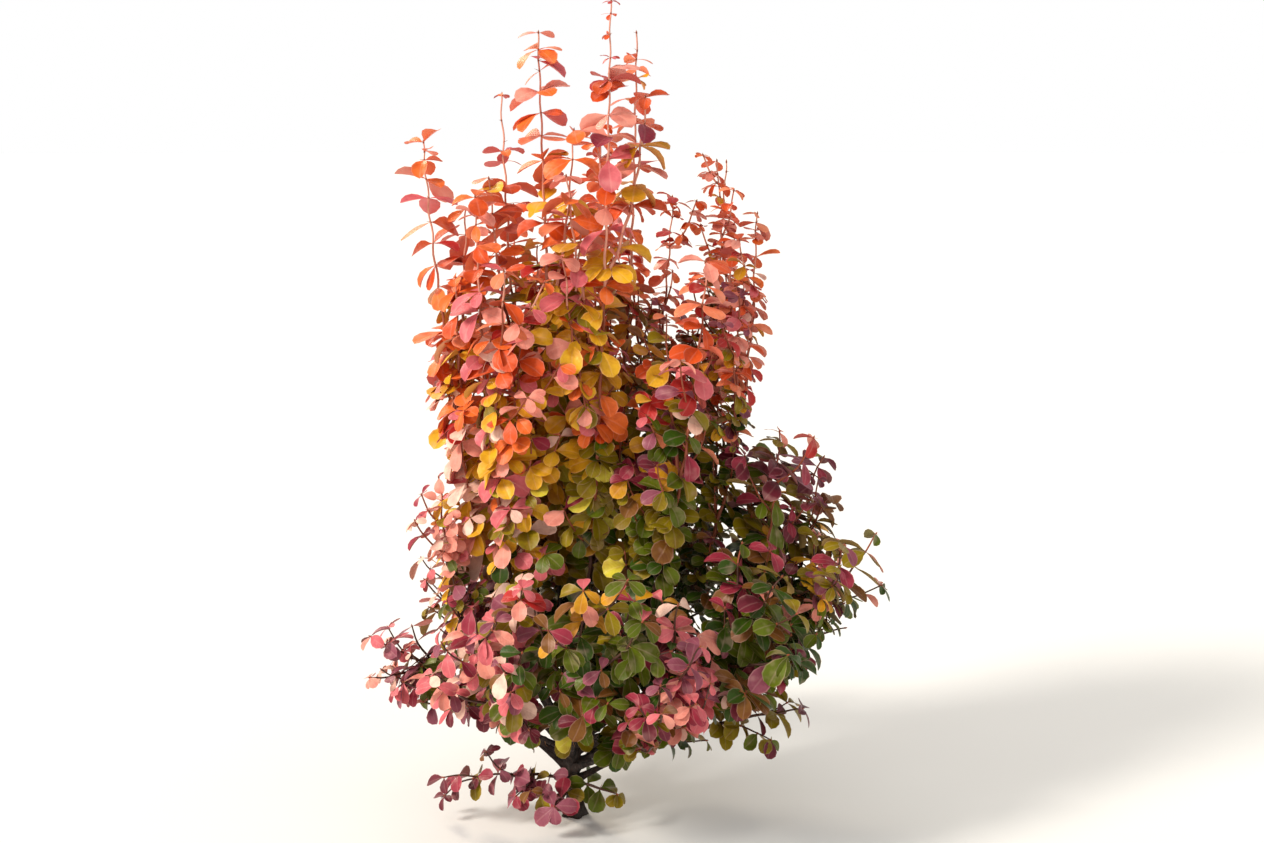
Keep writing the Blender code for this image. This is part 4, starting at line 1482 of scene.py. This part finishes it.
class Finish:
    """A material of our own, built node by node on one Principled shader."""

    def __init__(self, name):
        self.material = bpy.data.materials.new(name)
        self.material.use_nodes = True
        self.tree = self.material.node_tree
        self.shader = self.tree.nodes["Principled BSDF"]

    def node(self, kind, settings_of, values, output=0):
        """Any node, from its type, its settings and the values or links of its inputs, as a shade."""
        node = self.tree.nodes.new(kind)
        for key, value in settings_of.items():
            setattr(node, key, value)
        for key, value in values.items():
            self.feed(node.inputs[key], value)
        return Shade(self, node.outputs[output])

    def feed(self, socket, value):
        """Gives a socket a link from a shade, or else a value."""
        if isinstance(value, Shade):
            self.tree.links.new(value.socket, socket)
        else:
            socket.default_value = value

    def mix(self, low, high, amount):
        """A colour between two others. Colours are linear."""
        pair = [(*c, 1.0) if isinstance(c, (list, tuple)) else c for c in (low, high)]
        sockets = {"Factor": amount, MIX_LOW: pair[0], MIX_HIGH: pair[1]}
        return self.node("ShaderNodeMix", {"data_type": "RGBA"}, sockets, MIXED)

    def place(self):
        """The place on the piece, in the plant's own frame."""
        return self.node("ShaderNodeTexCoord", {}, {}, "Object")

    def marking(self, kind):
        """A marking of the surface, from 0 where there is none to 1 where it is full."""
        where = self.place()
        if kind.stretch:
            where = self.node("ShaderNodeMapping", {}, {"Vector": where, "Scale": kind.stretch})
        values = {"Vector": where, "Scale": kind.scale, "Detail": kind.detail}
        return self.node("ShaderNodeTexNoise", {}, values).ramp(kind.low, kind.high)

    def uv(self):
        """Across and along the surface, from the piece's own map."""
        spread = self.node("ShaderNodeUVMap", {"uv_map": "blade"}, {})
        return [self.node("ShaderNodeSeparateXYZ", {}, {"Vector": spread}, axis) for axis in "XY"]

    def bump(self, height, strength, distance):
        """A surface that rises with a shade, by up to a distance in metres."""
        values = {"Strength": strength, "Distance": distance, "Height": height}
        return self.node("ShaderNodeBump", {}, values)

    def surface(self, **values):
        """Sets the shader's inputs, named with _ for a space."""
        for key, value in values.items():
            self.feed(self.shader.inputs[key.replace("_", " ").title().replace("Ior", "IOR")], value)
        return self.material


# A leaf's markings. The pale streaks are painted highlights, the sun's sheen on the leaf.
BLOTCHES = Marking(90.0, 0.40, 0.68)
SHEEN_STREAKS = Marking(60.0, 0.56, 0.74, detail=2.0)
SPECKS = Marking(420.0, 0.35, 0.75, detail=2.0)
BLOTCH_SHADE = (0.62, 0.42, 0.45)  # of the leaf's own red, green and blue, in its blotches
BLOTCH_DEPTH = 0.55  # how far a blotch turns to that
SPECK_DEPTH = 0.12
PALE = (1.0, 0.80, 0.74)  # what the midrib, the margin and the underside pale towards
PALENESS = 0.38
RIB_PALENESS = 0.22  # how much of that the midrib gets
# The margin's paleness is partly the leaf's own pale edge and partly painted rim light.
MARGIN_PALENESS_AND_RIM_LIGHT = 0.45
# The streaks' paleness is a painted highlight.
SHEEN_STREAK_PALENESS = 0.40
DULLNESS = 0.20
UNDERSIDE = 0.86  # brightness of the underside, of the upper side's
UNDERSIDE_SHARE = 0.75  # how far the underside turns dull
LEAF_ROUGHNESS = 0.40
BLOTCH_ROUGHNESS = 0.08  # how much rougher a blotch is
SPECK_ROUGHNESS = 0.12
LEAF_GLOSS = 0.25  # specular level
# Where the midrib ends and the margin begins, on the way from a leaf's middle to its edge.
RIB = (0.02, 0.14)
MARGIN = (0.84, 0.98)
VEINS = 46.0
VEIN_SLANT = 0.27
VEIN_RISE = 0.35  # share of the relief that the veins have
RIB_FALL = 0.8
SPECK_RISE = 0.25
LEAF_BUMP = (0.35, 0.0004)  # strength of the relief and its depth in metres, as for twigs and bark below


def leaf_finish(tint, shade):
    """A leaf's skin: a paler midrib, a margin paled partly as painted rim light, pale streaks of painted
    sheen, fine veins, blotches, and a dull underside.
    """
    finish = Finish("leaf " + tint)
    base = linear(shade)
    deep = [own * part for own, part in zip(base, BLOTCH_SHADE)]
    pale = blended(base, linear(PALE), PALENESS)
    dull = blended(dimmed(base, UNDERSIDE), linear(PALE), DULLNESS)
    u, v = finish.uv()
    under = u > 1.0
    from_rib = abs(u - under - 0.5) * 2.0
    rib = 1 - from_rib.ramp(*RIB)
    margin = from_rib.ramp(*MARGIN)
    veins = (v - from_rib * VEIN_SLANT).wave(VEINS) * 0.5 + 0.5
    blotches, sheen_streaks, specks = (finish.marking(kind) for kind in (BLOTCHES, SHEEN_STREAKS, SPECKS))
    # A paler midrib, a margin paled partly as painted rim light, and pale streaks of painted sheen.
    paler = rib * RIB_PALENESS + margin * MARGIN_PALENESS_AND_RIM_LIGHT + sheen_streaks * SHEEN_STREAK_PALENESS
    skin = finish.mix(base, deep, blotches * BLOTCH_DEPTH + specks * SPECK_DEPTH)
    skin = finish.mix(skin, pale, paler)
    skin = finish.mix(skin, dull, under * UNDERSIDE_SHARE)
    return finish.surface(
        base_color=skin,
        roughness=LEAF_ROUGHNESS + blotches * BLOTCH_ROUGHNESS + specks * SPECK_ROUGHNESS,
        normal=finish.bump(veins * VEIN_RISE - rib * RIB_FALL + specks * SPECK_RISE, *LEAF_BUMP),
        specular_ior_level=LEAF_GLOSS,
    )


# Markings of the twigs, buds and spines. Their grain is drawn out along the twigs, which mostly run up.
TWIG_GRAIN = Marking(700.0, 0.35, 0.70, stretch=(1.0, 1.0, 0.12))
TWIG_PATCHES = Marking(120.0, 0.45, 0.70)
TWIG_DARK = 0.45  # brightness of their dark parts, of the bark's own
TWIG_GRAIN_DEPTH = 0.35
TWIG_PATCH_DEPTH = 0.25
TWIG_ROUGHNESS = 0.45
TWIG_GRAIN_ROUGHNESS = 0.2
TWIG_BUMP = (0.4, 0.0003)


def twig_finish(name, shade):
    """Smooth young bark with fine grain along the twig and darker patches."""
    finish = Finish(name)
    base = linear(shade)
    grain, patches = (finish.marking(kind) for kind in (TWIG_GRAIN, TWIG_PATCHES))
    darker = grain * TWIG_GRAIN_DEPTH + patches * TWIG_PATCH_DEPTH
    return finish.surface(
        base_color=finish.mix(base, dimmed(base, TWIG_DARK), darker),
        roughness=TWIG_ROUGHNESS + grain * TWIG_GRAIN_ROUGHNESS,
        normal=finish.bump(grain, *TWIG_BUMP),
    )


# Markings of the old bark, whose grain runs up the trunk.
BARK_GRAIN = Marking(420.0, 0.34, 0.66, detail=6.0, stretch=(1.0, 1.0, 0.22))
BARK_PATCHES = Marking(110.0, 0.42, 0.72, detail=4.0)
BARK_SPECKS = Marking(1600.0, 0.45, 0.75, detail=2.0)
WEATHERED = (0.16, 0.14, 0.12)  # the grey that old bark weathers towards, as linear light
WEATHERING = 0.6
# Where the grain dips in the bark's relief it turns to the cracks' dark colour: painted shade in the cracks.
BARK_GRAIN_DEPTH = 0.85  # how far the grain turns to the colour of cracks
BARK_PATCH_DEPTH = 0.45
BARK_ROUGHNESS = 0.95
PATCH_SMOOTHNESS = 0.15  # how much less rough a weathered patch is
BARK_SPECK_RISE = 0.3
BARK_BUMP = (0.7, 0.0009)


def bark_finish(stem):
    """Old bark, with painted shade in its cracks and grey weathered patches."""
    finish = Finish("old bark")
    old = linear(stem.old)
    grain, patches, specks = (finish.marking(kind) for kind in (BARK_GRAIN, BARK_PATCHES, BARK_SPECKS))
    # The grain darkens to painted shade where its relief dips.
    skin = finish.mix(old, linear(stem.crack), grain * BARK_GRAIN_DEPTH)
    skin = finish.mix(skin, blended(old, WEATHERED, WEATHERING), patches * BARK_PATCH_DEPTH)
    return finish.surface(
        base_color=skin,
        roughness=BARK_ROUGHNESS - patches * PATCH_SMOOTHNESS,
        normal=finish.bump(specks * BARK_SPECK_RISE - grain, *BARK_BUMP),
    )


FLOOR_SCALE = 3.0
FLOOR_DETAIL = 3.0
FLOOR_SHADOW = 0.97  # brightness of the floor's darker places, of its lighter ones
FLOOR_ROUGHNESS = 0.9


def floor_finish(stage):
    """A matt pale floor with the faintest unevenness."""
    finish = Finish("pale floor")
    base = linear(stage.floor)
    values = {"Vector": finish.place(), "Scale": FLOOR_SCALE, "Detail": FLOOR_DETAIL}
    uneven = finish.node("ShaderNodeTexNoise", {}, values)
    skin = finish.mix(base, dimmed(base, FLOOR_SHADOW), uneven)
    return finish.surface(base_color=skin, roughness=FLOOR_ROUGHNESS)


def foliage_nodes(owners):
    """The names of the masses' nodes of some lines, by their numbers."""
    return ["foliage_" + LINES[owner].name for owner in sorted(owners)]


def keep_at_nodes(name, pattern, aims, sizes, shade):
    """One piece with a copy of a pattern at every node, each with its own aim and size."""
    places = [bud.place for bud in grown_leaves()[1]]
    points = turned_copies(pattern, places, aims, sizes)
    piece = copied_object(name, pattern, points, twig_finish(name, shade))
    keep_piece(piece, foliage_nodes(range(len(LINES))))


class SHRUB_OT_trunk(bpy.types.Operator):
    """Model the trunk with its root flare and the relief of its bark"""

    bl_idname = "shrub.trunk"
    bl_label = "Trunk"

    def execute(self, context):
        stem = settings().stem
        keep_piece(model_trunk(stem, bark_finish(stem)), ["trunk"])
        return {"FINISHED"}


class SHRUB_OT_boughs(bpy.types.Operator):
    """Model every bough from the trunk to where it enters its mass of foliage"""

    bl_idname = "shrub.boughs"
    bl_label = "Boughs"

    def execute(self, context):
        boughs = model_boughs(bark_finish(settings().stem))
        keep_piece(boughs, ["bough_" + line.name for _, line in BOUGH_LINES])
        return {"FINISHED"}


class SHRUB_OT_twigs(bpy.types.Operator):
    """Grow the leaders, side shoots and twigs, apart by the age of their bark"""

    bl_idname = "shrub.twigs"
    bl_label = "Twigs"

    def execute(self, context):
        stem = settings().stem
        shades = {"brown": stem.brown, "red": stem.red, "young": stem.young}
        finishes = {kind: twig_finish(kind + " twigs", shade) for kind, shade in shades.items()}
        for piece in model_twigs(finishes):
            keep_piece(piece, foliage_nodes(range(len(LINES))))
        return {"FINISHED"}


class SHRUB_OT_buds(bpy.types.Operator):
    """Set a knob and a spine at every node"""

    bl_idname = "shrub.buds"
    bl_label = "Buds and spines"

    def execute(self, context):
        stem = settings().stem
        _, buds = grown_leaves()
        chance = random.Random("spines")
        widths = [between(*BUD_WIDTHS, bud.size) for bud in buds]
        sizes = [(wide, wide, BUD_LENGTH) for wide in widths]
        keep_at_nodes("buds", model_bud(), [bud.direction for bud in buds], sizes, stem.red)
        lengths = [stem.spines * chance.uniform(*SPINE_RANGE) * (1 + bud.size) / 2 for bud in buds]
        sizes = [(size, size, size) for size in lengths]
        aims = [(bud.outward + bud.direction * chance.uniform(*SPINE_FORWARD)).normalized() for bud in buds]
        keep_at_nodes("spines", model_spine(), aims, sizes, stem.spine)
        return {"FINISHED"}


class SHRUB_OT_leaves(bpy.types.Operator):
    """Grow the leaves and join those of each tint into a piece"""

    bl_idname = "shrub.leaves"
    bl_label = "Leaves"

    def execute(self, context):
        pattern = model_leaf()
        leaves, _ = grown_leaves()
        for tint in ShrubTints.__annotations__:
            own = [leaf for leaf in leaves if leaf.tint == tint]
            if not own:
                raise RuntimeError(f"no leaf has the tint {tint}")
            finish = leaf_finish(tint, getattr(settings().tints, tint))
            piece = copied_object("leaves_" + tint, pattern, placed_leaves(pattern, own), finish)
            keep_piece(piece, foliage_nodes({leaf.owner for leaf in own}))
        return {"FINISHED"}


CAMERA_AIM = Vector((0.0556, 0.0, 0.385))
CAMERA_TILT = math.radians(10.0)  # down from level
PIXEL = 0.000926  # of the photograph, at the trunk
PICTURE_WIDTH = 1264
SENSOR = 36.0
NEAREST_SEEN = 0.01
FLOOR_RADIUS = 60.0
FLOOR_SIDES = 96
KEY_PLACE = (-2.0, -1.0, 1.5)
KEY_SHADE = (1.0, 0.94, 0.86)
BACK_PLACE = (-1.2, 1.8, 1.3)
BACK_SHADE = (1.0, 0.86, 0.68)
SUN_WIDTH = math.radians(14)  # apparent width of the soft lights


def add_soft_light(name, place, strength, shade):
    """A large, soft and distant light that shines from a place towards the origin."""
    light = bpy.data.lights.new(name, "SUN")
    light.angle = SUN_WIDTH
    light.energy = strength
    light.color = shade
    lamp = linked_object(name, light)
    lamp.location = place
    lamp.rotation_euler = (-Vector(place)).to_track_quat("-Z", "Y").to_euler()


def add_camera(stage):
    """The camera, level with the photograph's: in front of the plant and looking down a little."""
    camera = bpy.data.cameras.new("camera")
    camera.sensor_width = SENSOR
    camera.lens = stage.distance / PIXEL * SENSOR / PICTURE_WIDTH
    camera.clip_start = NEAREST_SEEN
    holder = linked_object("camera", camera)
    back = Vector((0.0, -math.cos(CAMERA_TILT), math.sin(CAMERA_TILT)))
    holder.location = CAMERA_AIM + back * stage.distance
    holder.rotation_euler = (math.pi / 2 - CAMERA_TILT, 0.0, 0.0)
    bpy.context.scene.camera = holder


def light_surround(stage):
    """A plain surround, which looks white behind the plant and lights it more softly than that."""
    world = bpy.data.worlds.new("surround")
    world.use_nodes = True
    tree = world.node_tree
    background = tree.nodes["Background"]
    background.inputs["Color"].default_value = (*linear(stage.sky), 1.0)
    seen = tree.nodes.new("ShaderNodeLightPath")
    strength = tree.nodes.new("ShaderNodeMapRange")
    strength.inputs["To Min"].default_value = stage.surround
    strength.inputs["To Max"].default_value = 1.0
    tree.links.new(seen.outputs["Is Camera Ray"], strength.inputs["Value"])
    tree.links.new(strength.outputs["Result"], background.inputs["Strength"])
    bpy.context.scene.world = world
    bpy.context.scene.view_settings.view_transform = "Standard"


class SHRUB_OT_stage(bpy.types.Operator):
    """Set the floor, the lights and the camera"""

    bl_idname = "shrub.stage"
    bl_label = "Stage"

    def execute(self, context):
        stage = settings().stage
        deselect_all()
        bpy.ops.mesh.primitive_circle_add(vertices=FLOOR_SIDES, radius=FLOOR_RADIUS, fill_type="NGON")
        floor = bpy.context.object
        floor.name = "floor"
        floor.data.materials.append(floor_finish(stage))
        add_soft_light("key", KEY_PLACE, stage.key, KEY_SHADE)
        add_soft_light("back", BACK_PLACE, stage.back, BACK_SHADE)
        light_surround(stage)
        add_camera(stage)
        return {"FINISHED"}


class SHRUB_PT_panel(bpy.types.Panel):
    """The shrub's pieces and settings"""

    bl_idname = "SHRUB_PT_panel"
    bl_label = "Shrub"
    bl_space_type = "VIEW_3D"
    bl_region_type = "UI"
    bl_category = "Shrub"

    def draw(self, context):
        for operator in OPERATORS:
            self.layout.operator(operator.bl_idname)
        for group in (settings().leaf, settings().tints, settings().stem, settings().stage):
            box = self.layout.box()
            for name in type(group).__annotations__:
                box.prop(group, name)


OPERATORS = (SHRUB_OT_trunk, SHRUB_OT_boughs, SHRUB_OT_twigs, SHRUB_OT_buds, SHRUB_OT_leaves, SHRUB_OT_stage)
GROUPS = (ShrubLeafSettings, ShrubTints, ShrubStemSettings, ShrubStageSettings, ShrubSettings)
CLASSES = (*GROUPS, *OPERATORS, SHRUB_PT_panel)


def register():
    for kind in CLASSES:
        bpy.utils.register_class(kind)
    bpy.types.Scene.shrub = PointerProperty(type=ShrubSettings)


def unregister():
    del bpy.types.Scene.shrub
    for kind in reversed(CLASSES):
        bpy.utils.unregister_class(kind)


def main():
    register()
    bpy.ops.shrub.trunk()
    bpy.ops.shrub.boughs()
    bpy.ops.shrub.twigs()
    bpy.ops.shrub.buds()
    bpy.ops.shrub.leaves()
    bpy.ops.shrub.stage()


if __name__ == "__main__":
    main()
